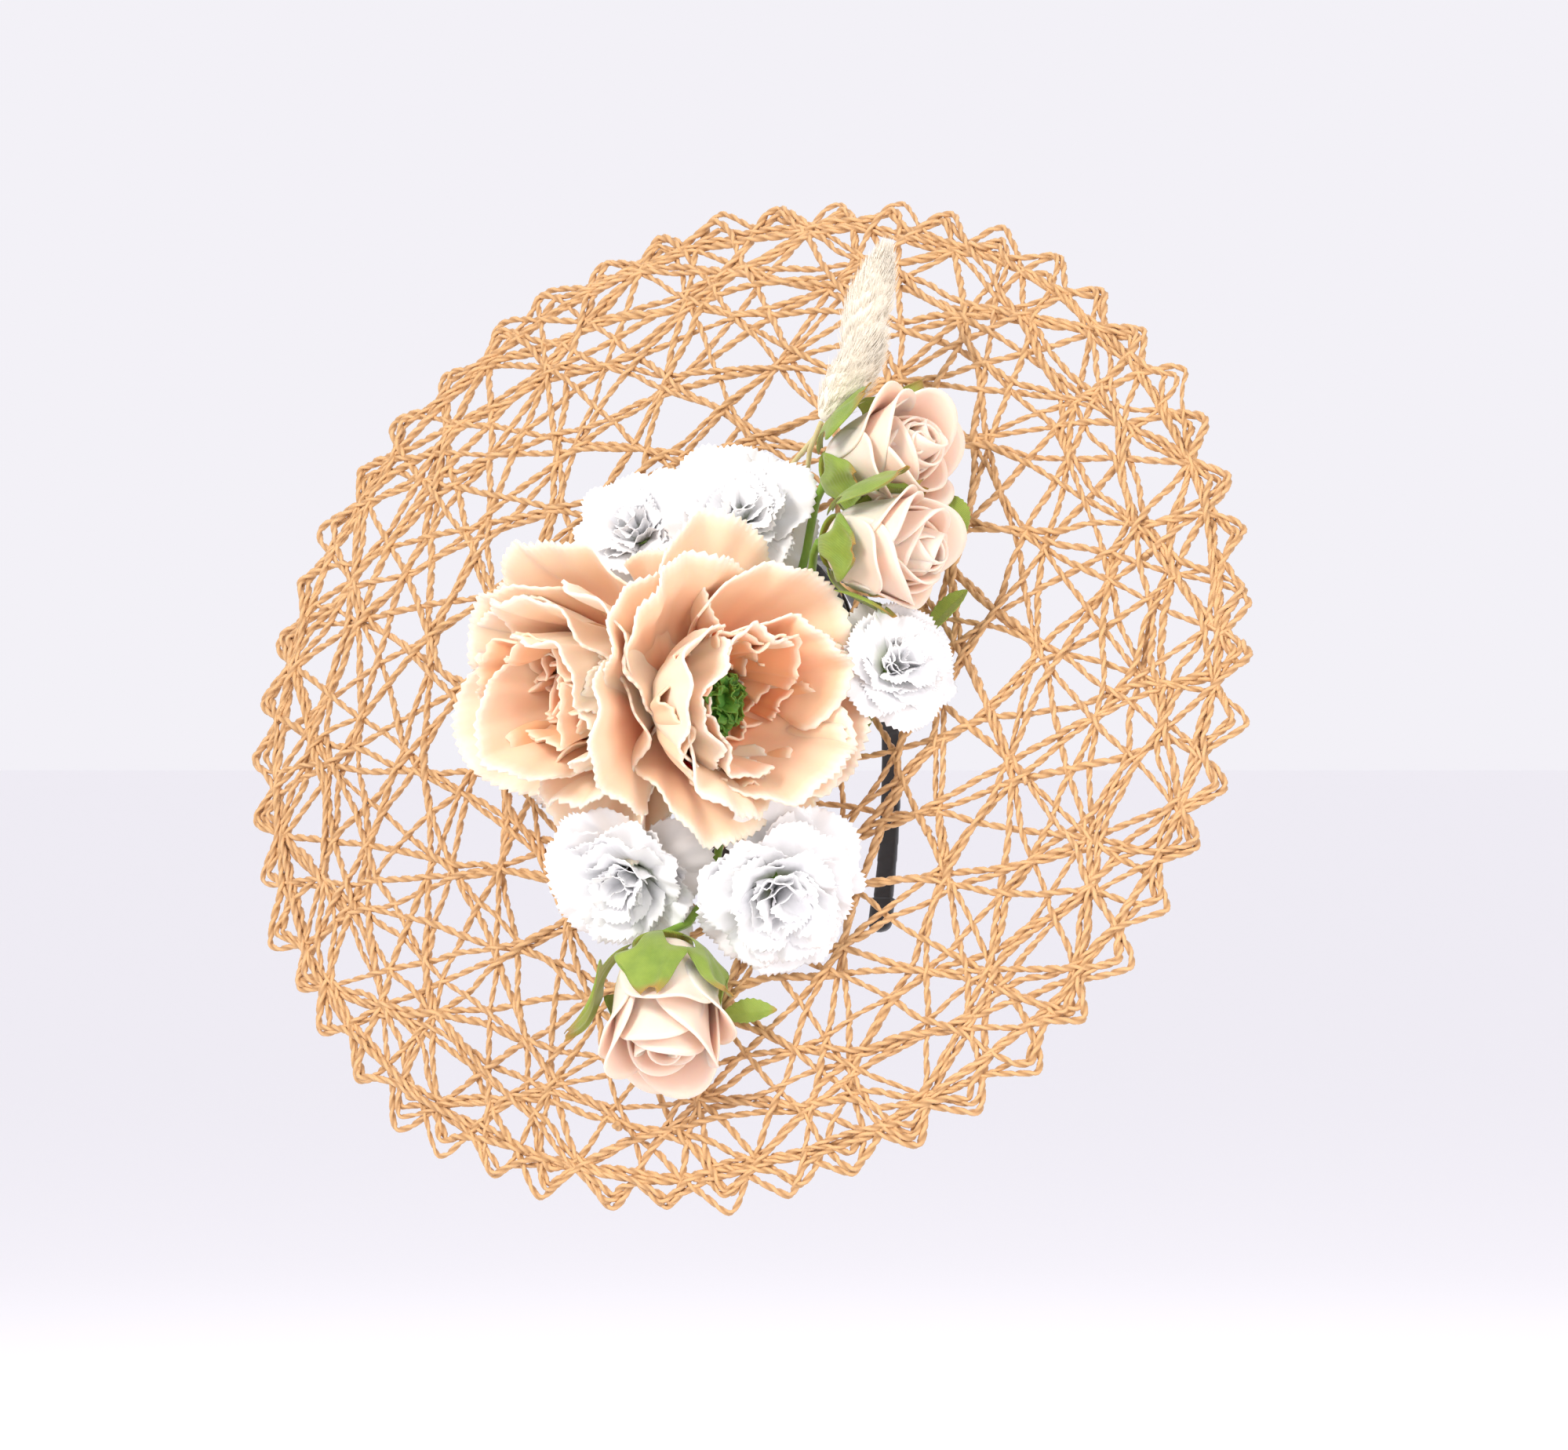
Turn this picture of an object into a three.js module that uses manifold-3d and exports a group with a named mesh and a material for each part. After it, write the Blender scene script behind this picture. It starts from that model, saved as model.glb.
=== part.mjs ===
// Fascinator headpiece: an open-work woven disc worn on the side of the head, with a spray of
// artificial flowers on its outer face and a headband and a sprung hair clip under it.
// Millimetres. +X is the wearer's front, +Y the wearer's left, +Z up. The origin is the centre of
// the headband's arc, which is the middle of the wearer's head.

import * as THREE from 'three';
import { mergeVertices } from 'three/addons/utils/BufferGeometryUtils.js';
import Module from 'manifold-3d';

const wasm = await Module();
wasm.setup();

// ---------------------------------------------------------------- driving dimensions
const GAP = 0.3; // between pieces that touch
const DISC_RADIUS = 210; // over the tips of the scallops
const SCALLOPS = 51;
const SECTORS = 17; // the weave repeats every third scallop
const WEAVE_TURN = THREE.MathUtils.degToRad(4.1); // of the first scallop from the wearer's front
const SCALLOP_DEPTH = 10;
const WEAVE_THICKNESS = 4;
const CORD_WIDTH = 3;
const DOME_DROP = 20; // how far the rim hangs below the middle
const FLAT_SHARE = 0.28; // the middle is flat out to this share of the radius
const INNER_RING = [46, 54]; // where the innermost cords are bound together
const MIDDLE_RING = [118, 122];
const STAR_STEP = 15; // scallops that each straight cord passes over
const CORD_BENDS = 6; // straight stretches of each bent cord
const SPOKE_BENDS = 3;
const TILT = THREE.MathUtils.degToRad(67.6); // of the disc's axis from straight up, to the right ear

const BAND_RADIUS = 77.5; // middle of the band's thickness
const BAND_LOWER_RADIUS = 200; // the arms below the ears curl in gently
const BAND_LOWER_ANGLE = THREE.MathUtils.degToRad(17);
const BAND_WIDTH = 8;
const BAND_THICKNESS = 3;
const CORE_WIDTH = 6.4;
const CORE_THICKNESS = 1.4;
const TIP_LENGTH = 9;

const FELT_RADIUS = 56;
const FELT_THICKNESS = 2;
const GLUE_RADIUS = 44;
const GLUE_THICKNESS = 1.4;
const TAB_LENGTH = 24;
const TAB_WIDTH = 22;
const TAB_THICKNESS = 1.2;

const CLIP_X = 27; // of the clip's middle, in front of the band
const CLIP_LENGTH = 46;
const CLIP_WIDTH = 8;
const SHEET = 0.8; // the clip's sheet steel
const PIN_RADIUS = 1;
const PIN_AT = [-7, -4.2]; // along the clip, and below its plate's upper face
const COIL_RADIUS = 1.95;
const JAW_TAIL = 14;
const JAW_TAIL_ANGLE = THREE.MathUtils.degToRad(24);

// Heights along the disc's own axis, counted from the middle of the weave's thickness
const FELT_TOP_LOW = WEAVE_THICKNESS / 2 + GAP;
const GLUE_LOW = FELT_TOP_LOW + FELT_THICKNESS + GAP;
const FELT_UNDER_HIGH = -WEAVE_THICKNESS / 2 - GAP;
const FELT_UNDER_LOW = FELT_UNDER_HIGH - FELT_THICKNESS;
const DISC_CENTRE = BAND_RADIUS + BAND_THICKNESS / 2 + GAP - FELT_UNDER_LOW;

// ---------------------------------------------------------------- materials
function finish(color, roughness, metalness = 0) {
  return new THREE.MeshStandardMaterial({ color, roughness, metalness });
}
const cordPaper = finish(0xcda26b, 0.75);
const blackFelt = finish(0x16161a, 0.95);
const glue = finish(0xe9e2cf, 0.35);
const satin = finish(0x131316, 0.45);
const springSteel = finish(0x9a9ca0, 0.35, 0.9);
const clipSteel = finish(0xb9bcc2, 0.28, 0.95);
const peachFoam = finish(0xf6cba9, 0.6);
const deepPeachFoam = finish(0xe59c72, 0.6);
const blushFoam = finish(0xeecbb6, 0.6);
const whiteFabric = finish(0xf3f3f6, 0.85);
const greenHeart = finish(0x3c7a22, 0.8);
const greenLeaf = finish(0x7f9a2c, 0.6);
const stemPlastic = finish(0x6e8f3a, 0.5);
const greyGrass = finish(0xf2ecd6, 0.95);
const strawStem = finish(0xd9cf9c, 0.7);

// ---------------------------------------------------------------- helpers
const headpiece = new THREE.Group();
const disc = new THREE.Group(); // the disc's own frame: z is out of its face, y up along it
disc.rotation.x = TILT;
disc.position.set(0, -DISC_CENTRE * Math.sin(TILT), DISC_CENTRE * Math.cos(TILT));
headpiece.add(disc);

function add(parent, name, geometry, material) {
  const mesh = new THREE.Mesh(geometry, material);
  mesh.name = name;
  parent.add(mesh);
  return mesh;
}

function solidOf(geometry) {
  const bare = geometry.index ? geometry.clone() : geometry;
  bare.deleteAttribute('normal');
  bare.deleteAttribute('uv');
  const merged = mergeVertices(bare, 1e-4);
  return new wasm.Manifold(new wasm.Mesh({
    numProp: 3,
    vertProperties: new Float32Array(merged.attributes.position.array),
    triVerts: new Uint32Array(merged.index.array),
  }));
}

function geometryOf(solid) {
  const mesh = solid.getMesh();
  const geometry = new THREE.BufferGeometry();
  geometry.setAttribute('position', new THREE.BufferAttribute(mesh.vertProperties, 3));
  geometry.setIndex(new THREE.BufferAttribute(mesh.triVerts, 1));
  geometry.computeVertexNormals();
  return geometry;
}

function plate(shape, low, thickness) {
  const geometry = new THREE.ExtrudeGeometry(shape, { depth: thickness, bevelEnabled: false });
  return geometry.translate(0, 0, low);
}

// A closed profile of [radius, height] pairs turned round +Z
function turned(profile, sides) {
  const points = profile.map(([radius, height]) => new THREE.Vector2(radius, height));
  return new THREE.LatheGeometry(points, sides).rotateX(Math.PI / 2);
}

function ring(radiusAt, holeRadius, steps, low, thickness) {
  const outline = new THREE.Shape();
  for (let i = 0; i < steps; i += 1) {
    const angle = (i / steps) * 2 * Math.PI;
    outline[i ? 'lineTo' : 'moveTo'](
      radiusAt(angle) * Math.cos(angle), radiusAt(angle) * Math.sin(angle));
  }
  if (holeRadius) {
    const hole = new THREE.Path();
    const holeSteps = Math.round(steps / 2);
    for (let i = 0; i < holeSteps; i += 1) {
      const angle = (-i / holeSteps) * 2 * Math.PI;
      hole[i ? 'lineTo' : 'moveTo'](holeRadius * Math.cos(angle), holeRadius * Math.sin(angle));
    }
    outline.holes.push(hole);
  }
  return plate(outline, low, thickness);
}

const UP = new THREE.Vector3(0, 0, 1);

function aim(object, at, facing) {
  object.position.set(...at);
  object.quaternion.setFromUnitVectors(UP, new THREE.Vector3(...facing).normalize());
  return object;
}

// ---------------------------------------------------------------- woven disc
// Straight cords run from scallop to scallop as a star, tied to a scalloped rim and a middle
// ring, with spokes in to an inner ring. Each is bent down from the flat middle to the low rim.
function dropAt(radius) {
  const out = Math.max(0, (radius / DISC_RADIUS - FLAT_SHARE) / (1 - FLAT_SHARE));
  return DOME_DROP * out * out;
}

function dropped(geometry) {
  const position = geometry.attributes.position;
  for (let i = 0; i < position.count; i += 1) {
    const radius = Math.hypot(position.getX(i), position.getY(i));
    position.setZ(i, position.getZ(i) - dropAt(radius));
  }
  return geometry;
}

function makeWovenDisc() {
  const low = -WEAVE_THICKNESS / 2;
  const scallop = (angle) => DISC_RADIUS - (SCALLOP_DEPTH / 2) * (1 - Math.cos(SCALLOPS * angle));
  let weave = solidOf(dropped(ring(
    scallop, DISC_RADIUS - SCALLOP_DEPTH - CORD_WIDTH, SCALLOPS * 2, low, WEAVE_THICKNESS)));
  for (const [inner, outer] of [INNER_RING, MIDDLE_RING]) {
    weave = weave.add(solidOf(dropped(ring(() => outer, inner, SECTORS * 2, low, WEAVE_THICKNESS))));
  }
  const reach = DISC_RADIUS - SCALLOP_DEPTH;
  const turn = (STAR_STEP * Math.PI) / SCALLOPS;
  const length = 2 * reach * Math.sin(turn);
  for (let sector = 0; sector < SECTORS; sector += 1) {
    const cord = new THREE.BoxGeometry(CORD_WIDTH, length, CORD_WIDTH, 1, CORD_BENDS, 1);
    cord.translate(reach * Math.cos(turn), 0, 0);
    cord.rotateZ((sector / SECTORS) * 2 * Math.PI + turn);
    weave = weave.add(solidOf(dropped(cord)));
    const spokeLength = MIDDLE_RING[1] - INNER_RING[1];
    const spoke = new THREE.BoxGeometry(
      spokeLength, CORD_WIDTH, CORD_WIDTH, SPOKE_BENDS, 1, 1);
    spoke.translate(INNER_RING[1] + spokeLength / 2 - 1, 0, 0);
    spoke.rotateZ(((sector + 0.25) / SECTORS) * 2 * Math.PI);
    weave = weave.add(solidOf(dropped(spoke)));
  }
  return geometryOf(weave).rotateZ(WEAVE_TURN);
}
add(disc, 'woven_disc', makeWovenDisc(), cordPaper);

// ---------------------------------------------------------------- felt and glue
add(disc, 'felt_base', turned([
  [0, FELT_TOP_LOW], [FELT_RADIUS, FELT_TOP_LOW],
  [FELT_RADIUS, FELT_TOP_LOW + FELT_THICKNESS], [0, FELT_TOP_LOW + FELT_THICKNESS],
], 40), blackFelt);
add(disc, 'felt_backing', turned([
  [0, FELT_UNDER_LOW], [FELT_RADIUS, FELT_UNDER_LOW],
  [FELT_RADIUS, FELT_UNDER_HIGH], [0, FELT_UNDER_HIGH],
], 40), blackFelt);
add(disc, 'glue_bed', turned([
  [0, GLUE_LOW], [GLUE_RADIUS, GLUE_LOW],
  [GLUE_RADIUS - 2, GLUE_LOW + GLUE_THICKNESS], [0, GLUE_LOW + GLUE_THICKNESS],
], 24), glue);

// ---------------------------------------------------------------- headband
// The band lies in the YZ plane: half a circle over the crown, and arms that curl in below.
// Its side outline is drawn in the shape's own plane and extruded along X.
const CROWN_STEPS = 24;
const ARM_STEPS = 4;

function arc(centreX, radius, from, to, steps) {
  return Array.from({ length: steps + 1 }, (_, i) => {
    const angle = from + ((to - from) * i) / steps;
    return new THREE.Vector2(centreX + radius * Math.cos(angle), radius * Math.sin(angle));
  });
}

// One side of the band, from the tip of the -Y arm over the crown to the tip of the +Y arm
function bandSide(offset, endAngle) {
  const shift = BAND_LOWER_RADIUS - BAND_RADIUS;
  const lower = BAND_LOWER_RADIUS + offset;
  return [
    ...arc(shift, lower, Math.PI + endAngle, Math.PI, ARM_STEPS).slice(0, -1),
    ...arc(0, BAND_RADIUS + offset, Math.PI, 0, CROWN_STEPS),
    ...arc(-shift, lower, 0, -endAngle, ARM_STEPS).slice(1),
  ];
}

function bandOutline(thickness, endAngle) {
  const outer = bandSide(thickness / 2, endAngle);
  const inner = bandSide(-thickness / 2, endAngle).reverse();
  return new THREE.Shape([...outer, ...inner].reverse());
}

function bandSolid(width, thickness, endAngle) {
  const outline = bandOutline(thickness, endAngle);
  const geometry = new THREE.ExtrudeGeometry(outline, { depth: width, bevelEnabled: false });
  // the shape's x becomes +Y, its y becomes +Z and the extrusion runs along +X
  geometry.translate(0, 0, -width / 2);
  return geometry.applyMatrix4(new THREE.Matrix4().set(
    0, 0, 1, 0,
    1, 0, 0, 0,
    0, 1, 0, 0,
    0, 0, 0, 1));
}

const coreReach = BAND_LOWER_ANGLE + 1 / BAND_LOWER_RADIUS;
const cavityReach = BAND_LOWER_ANGLE + 4 / BAND_LOWER_RADIUS;
add(headpiece, 'band_core', bandSolid(CORE_WIDTH, CORE_THICKNESS, coreReach), springSteel);
const ribbon = solidOf(bandSolid(BAND_WIDTH, BAND_THICKNESS, BAND_LOWER_ANGLE)).subtract(
  solidOf(bandSolid(CORE_WIDTH + 2 * GAP, CORE_THICKNESS + 2 * GAP, cavityReach)));
add(headpiece, 'band_ribbon', geometryOf(ribbon), satin);

function addBandTip(name, side) {
  const start = BAND_LOWER_ANGLE + (1 + GAP) / BAND_LOWER_RADIUS;
  const middle = start + TIP_LENGTH / 2 / BAND_LOWER_RADIUS;
  const across = BAND_LOWER_RADIUS * Math.cos(middle) - (BAND_LOWER_RADIUS - BAND_RADIUS);
  const down = -BAND_LOWER_RADIUS * Math.sin(middle);
  const shape = new THREE.Shape();
  const half = BAND_WIDTH / 2 + 0.6;
  shape.moveTo(-half, TIP_LENGTH / 2);
  shape.lineTo(-half, -TIP_LENGTH / 2 + half);
  shape.absarc(0, -TIP_LENGTH / 2 + half, half, Math.PI, 2 * Math.PI, false);
  shape.lineTo(half, TIP_LENGTH / 2);
  const thickness = BAND_THICKNESS + 1;
  const geometry = new THREE.ExtrudeGeometry(
    shape, { depth: thickness, bevelEnabled: false, curveSegments: 8 });
  // the outline stands in the XZ plane and its thickness runs along Y
  geometry.translate(0, 0, -thickness / 2).rotateX(Math.PI / 2);
  const mesh = add(headpiece, name, geometry, satin);
  mesh.position.set(0, side * across, down);
  mesh.rotation.x = -side * middle;
}
addBandTip('band_tip_left', 1);
addBandTip('band_tip_right', -1);

// A felt strap over the band, glued to the backing on both sides of it
function makeBandTab() {
  const wall = FELT_UNDER_LOW - GAP;
  const channel = BAND_WIDTH / 2 + GAP;
  const depth = BAND_THICKNESS + 2 * GAP + 1.1;
  const section = new THREE.Shape();
  section.moveTo(-TAB_WIDTH / 2, wall);
  section.lineTo(-TAB_WIDTH / 2, wall - TAB_THICKNESS);
  section.lineTo(-channel - TAB_THICKNESS, wall - TAB_THICKNESS);
  section.lineTo(-channel - TAB_THICKNESS, wall - depth - TAB_THICKNESS);
  section.lineTo(channel + TAB_THICKNESS, wall - depth - TAB_THICKNESS);
  section.lineTo(channel + TAB_THICKNESS, wall - TAB_THICKNESS);
  section.lineTo(TAB_WIDTH / 2, wall - TAB_THICKNESS);
  section.lineTo(TAB_WIDTH / 2, wall);
  section.lineTo(channel, wall);
  section.lineTo(channel, wall - depth);
  section.lineTo(-channel, wall - depth);
  section.lineTo(-channel, wall);
  return plate(section, -TAB_LENGTH / 2, TAB_LENGTH).rotateX(Math.PI / 2);
}
add(disc, 'band_tab', makeBandTab(), blackFelt);

// ---------------------------------------------------------------- hair clip
// The clip's own frame: x across it, y along it towards the jaw's tip, z out of the plate that is
// glued to the felt, so that the jaw lies below it.
const clip = new THREE.Group();
clip.position.set(CLIP_X, 0, FELT_UNDER_LOW - GAP);
disc.add(clip);

function makeClipPlate() {
  const floor = new THREE.BoxGeometry(CLIP_WIDTH, CLIP_LENGTH, SHEET).translate(0, 0, -SHEET / 2);
  let solid = solidOf(floor);
  for (const side of [-1, 1]) {
    const ear = new THREE.BoxGeometry(SHEET, 7, 6);
    ear.translate(side * (CLIP_WIDTH / 2 - SHEET / 2), PIN_AT[0], -3);
    solid = solid.add(solidOf(ear));
    const bore = new THREE.CylinderGeometry(PIN_RADIUS + 0.1, PIN_RADIUS + 0.1, 4, 16);
    bore.rotateZ(Math.PI / 2).translate(side * (CLIP_WIDTH / 2), PIN_AT[0], PIN_AT[1]);
    solid = solid.subtract(solidOf(bore));
  }
  return geometryOf(solid);
}

function makeClipJaw() {
  const width = CLIP_WIDTH - 2 * SHEET - 0.8;
  const tip = CLIP_LENGTH / 2;
  const [pinY, pinZ] = PIN_AT;
  const underPin = pinZ - COIL_RADIUS - 2 * GAP;
  const tailY = pinY - 3 - JAW_TAIL * Math.cos(JAW_TAIL_ANGLE);
  const tailZ = underPin - JAW_TAIL * Math.sin(JAW_TAIL_ANGLE);
  const side = new THREE.Shape(); // x is along the clip, y is its height
  side.moveTo(tip, -SHEET - GAP);
  side.lineTo(tip, -2 * SHEET - GAP);
  side.lineTo(pinY + 4, underPin - SHEET);
  side.lineTo(pinY - 3, underPin - SHEET);
  side.lineTo(tailY, tailZ - SHEET);
  side.lineTo(tailY, tailZ);
  side.lineTo(pinY - 3, underPin);
  side.lineTo(pinY + 4, underPin);
  const geometry = new THREE.ExtrudeGeometry(side, { depth: width, bevelEnabled: false });
  geometry.translate(0, 0, -width / 2);
  geometry.applyMatrix4(new THREE.Matrix4().set(
    0, 0, 1, 0,
    1, 0, 0, 0,
    0, 1, 0, 0,
    0, 0, 0, 1));
  let solid = solidOf(geometry);
  for (const hand of [-1, 1]) {
    const earHeight = COIL_RADIUS + 2 * GAP + SHEET + 1.7;
    const ear = new THREE.BoxGeometry(SHEET, 5, earHeight);
    ear.translate(hand * (width / 2 - SHEET / 2), pinY, underPin - SHEET + earHeight / 2);
    solid = solid.add(solidOf(ear));
  }
  const bore = new THREE.CylinderGeometry(PIN_RADIUS + 0.1, PIN_RADIUS + 0.1, 12, 16);
  bore.rotateZ(Math.PI / 2).translate(0, pinY, pinZ);
  return geometryOf(solid.subtract(solidOf(bore)));
}
add(clip, 'clip_plate', makeClipPlate(), clipSteel);
add(clip, 'clip_jaw', makeClipJaw(), clipSteel);

const pinLength = CLIP_WIDTH + 1;
const pin = add(
  clip, 'clip_pin', new THREE.CylinderGeometry(PIN_RADIUS, PIN_RADIUS, pinLength, 16), clipSteel);
pin.rotation.z = Math.PI / 2;
pin.position.set(0, PIN_AT[0], PIN_AT[1]);

// A coil spring round the pin between the jaw's ears, drawn as the tube that its coils fill
const coilHalf = (CLIP_WIDTH - 4 * SHEET - 0.8) / 2 - GAP;
const coil = add(clip, 'clip_spring', turned([
  [PIN_RADIUS + 0.15, -coilHalf], [COIL_RADIUS, -coilHalf],
  [COIL_RADIUS, coilHalf], [PIN_RADIUS + 0.15, coilHalf],
  [PIN_RADIUS + 0.15, -coilHalf],
], 16), springSteel);
coil.rotation.y = Math.PI / 2;
coil.position.copy(pin.position);

// ---------------------------------------------------------------- flowers
// Every flower has its own frame: the origin is where its back meets its calyx or stem, and z is
// the way that it faces. Its place is given as the middle of its body, which is half its height
// in front of that origin. Places and directions are in the disc's frame.
function flowerGroup(middle, facing, height) {
  const back = new THREE.Vector3(...facing).normalize().multiplyScalar(-height / 2);
  const at = new THREE.Vector3(...middle).add(back);
  const group = aim(new THREE.Group(), at.toArray(), facing);
  disc.add(group);
  return group;
}

function stem(name, points, radius, material) {
  const section = new THREE.Shape();
  section.absarc(0, 0, radius, 0, 2 * Math.PI, false);
  const path = new THREE.CatmullRomCurve3(points.map((point) => new THREE.Vector3(...point)));
  const geometry = new THREE.ExtrudeGeometry(
    section, { steps: 5, curveSegments: 7, extrudePath: path });
  return add(disc, name, geometry, material);
}

// A cupped ring of petals between two walls, about a tenth of its width thick
function petalCup(radius, depth, floor, sides) {
  return turned([
    [0, 0], [0.24 * radius, 0], [0.68 * radius, 0.3 * depth], [radius, depth],
    [0.88 * radius, depth], [0.56 * radius, 0.3 * depth + floor],
    [0.16 * radius, floor], [0, floor],
  ], sides);
}

const PEONY_FLOOR = 4;
const PEONIES = [
  { name: 'peony_right', middle: [31, -26, 58], facing: [0.9, -0.2, 0.39], radius: 56, depth: 34 },
  { name: 'peony_left', middle: [-34, -23, 37], facing: [-0.36, -0.58, 0.73], radius: 51, depth: 30 },
];
for (const { name, middle, facing, radius, depth } of PEONIES) {
  const flower = flowerGroup(middle, facing, depth);
  add(flower, `${name}_outer_petals`, petalCup(radius, depth, PEONY_FLOOR, 14), peachFoam);
  const inner = add(
    flower, `${name}_inner_petals`,
    petalCup(0.56 * radius, 0.62 * depth, PEONY_FLOOR, 12), deepPeachFoam);
  inner.position.z = PEONY_FLOOR + 3 * GAP + 1.4;
  const heart = add(flower, `${name}_heart`, turned([
    [0, 0], [6, 0], [8.5, 4], [6, 9], [0, 11],
  ], 10), greenHeart);
  heart.position.z = inner.position.z + PEONY_FLOOR + 2.6;
}
const STEM_END = GLUE_LOW + GLUE_THICKNESS + 2.6; // stems stop in the glue, clear of its solid
stem('peony_right_stem', [[14.6, -22, 50], [10, -20, 34], [8, -17, STEM_END]], 2.2, stemPlastic);
stem('peony_left_stem', [[-28, -13.4, 25], [-25, -10, 16], [-22, -8, STEM_END]], 2.2, stemPlastic);

const CARNATIONS = [
  { name: 'carnation_upper_left', middle: [-33, 50, 24], facing: [0.1, 0.1, 0.99], radius: 21 },
  { name: 'carnation_upper', middle: [12, 54, 28], facing: [0.43, 0.11, 0.9], radius: 25 },
  { name: 'carnation_right', middle: [83, -4, 21], facing: [0.72, 0.04, 0.69], radius: 18 },
  { name: 'carnation_lower_right', middle: [51, -96, 20], facing: [0.45, -0.7, 0.55], radius: 25 },
  { name: 'carnation_lower', middle: [-9, -92, 24], facing: [0.03, -0.75, 0.65], radius: 24 },
];
for (const { name, middle, facing, radius } of CARNATIONS) {
  const flower = flowerGroup(middle, facing, radius);
  add(flower, `${name}_petals`, turned([
    [0, 0], [0.4 * radius, 0], [0.94 * radius, 0.42 * radius], [radius, 0.72 * radius],
    [0.66 * radius, 0.98 * radius], [0, 1.04 * radius],
  ], 12), whiteFabric);
  const calyx = add(flower, `${name}_calyx`, turned([
    [0, 0], [2.4, 0], [4, 8], [0, 8],
  ], 8), stemPlastic);
  calyx.position.z = -8 - GAP;
}

const ROSES = [
  { name: 'rose_upper', middle: [66, 72, 33], facing: [0.94, 0.15, 0.3], radius: 21, length: 44 },
  { name: 'rose_middle', middle: [77, 33.6, 43.6], facing: [0.98, -0.13, 0.1], radius: 20, length: 42 },
  { name: 'rose_lower', middle: [13, -136, 23], facing: [0.24, -0.97, 0.09], radius: 22, length: 46 },
];
for (const { name, middle, facing, radius, length } of ROSES) {
  const flower = flowerGroup(middle, facing, length);
  add(flower, `${name}_petals`, turned([
    [0, 4], [0.45 * radius, 4.6], [0.94 * radius, 0.34 * length], [radius, 0.6 * length],
    [0.8 * radius, 0.92 * length], [0.3 * radius, length], [0, length],
  ], 12), blushFoam);
  add(flower, `${name}_calyx`, turned([
    [0, 0], [3, 0], [0.5 * radius, 3.2], [0.5 * radius, 4.1], [0.42 * radius, 4], [0, 3.4],
  ], 10), greenLeaf);
}
stem('rose_upper_stem', [[43.6, 68.4, 26], [38, 62, 20], [32, 46, 9], [30, 26, STEM_END]], 1.6, stemPlastic);
stem('rose_middle_stem', [[53.4, 35.8, 41.6], [46, 34, 30], [40, 16, 12], [34, 8, STEM_END]], 1.6, stemPlastic);
stem('rose_lower_stem', [[7.6, -112.4, 20.6], [13, -104, 12], [16, -84, 6], [14, -60, 3]], 1.6, stemPlastic);

// ---------------------------------------------------------------- bunny-tail grasses
const GRASSES = [
  { name: 'grass_long', from: [51, 109, 37], to: [65, 152, 52] },
  { name: 'grass_short', from: [45, 86, 40], to: [70, 116, 54] },
];
const GRASS_RADIUS = 9;
for (const { name, from, to } of GRASSES) {
  const start = new THREE.Vector3(...from);
  const along = new THREE.Vector3(...to).sub(start);
  const length = along.length();
  const head = add(disc, `${name}_head`, turned([
    [0, 0], [0.6 * GRASS_RADIUS, 0.1 * length], [GRASS_RADIUS, 0.38 * length],
    [0.8 * GRASS_RADIUS, 0.7 * length], [0.4 * GRASS_RADIUS, 0.94 * length], [0, length],
  ], 8), greyGrass);
  aim(head, from, along.toArray());
}
stem('grass_long_stem', [[50.8, 108.4, 36.7], [42, 92, 28], [20, 80, 12], [-2, 48, 6], [-4, 34, STEM_END]], 1, strawStem);
stem('grass_short_stem', [[44.6, 85.5, 39.7], [38, 80, 32], [28, 66, 12], [18, 34, STEM_END]], 1, strawStem);

// ---------------------------------------------------------------- loose leaves
const LEAVES = [
  { name: 'leaf_upper', middle: [97, 56, 20], facing: [0.2, 0.3, 0.93], turn: 0.5 },
  { name: 'leaf_middle', middle: [94, 22, 8], facing: [-0.2, 0.1, 0.97], turn: 2.4 },
  { name: 'leaf_right', middle: [64, -27, 8], facing: [0.1, 0, 0.99], turn: 5.6 },
  { name: 'leaf_lower', middle: [40, -137, 5], facing: [0.1, 0.1, 0.98], turn: 4.9 },
];
const LEAF_LENGTH = 20;
const LEAF_WIDTH = 9;
const LEAF_THICKNESS = 1;
for (const { name, middle, facing, turn } of LEAVES) {
  const outline = new THREE.Shape();
  outline.moveTo(0, -LEAF_LENGTH / 2);
  outline.quadraticCurveTo(LEAF_WIDTH, 0, 0, LEAF_LENGTH / 2);
  outline.quadraticCurveTo(-LEAF_WIDTH, 0, 0, -LEAF_LENGTH / 2);
  const geometry = new THREE.ExtrudeGeometry(
    outline, { depth: LEAF_THICKNESS, bevelEnabled: false, curveSegments: 5 });
  add(flowerGroup(middle, facing, LEAF_THICKNESS), name, geometry.rotateZ(turn), greenLeaf);
}

export default headpiece;
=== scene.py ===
import math
import bpy
import numpy as np
from mathutils import Matrix, Vector


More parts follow.
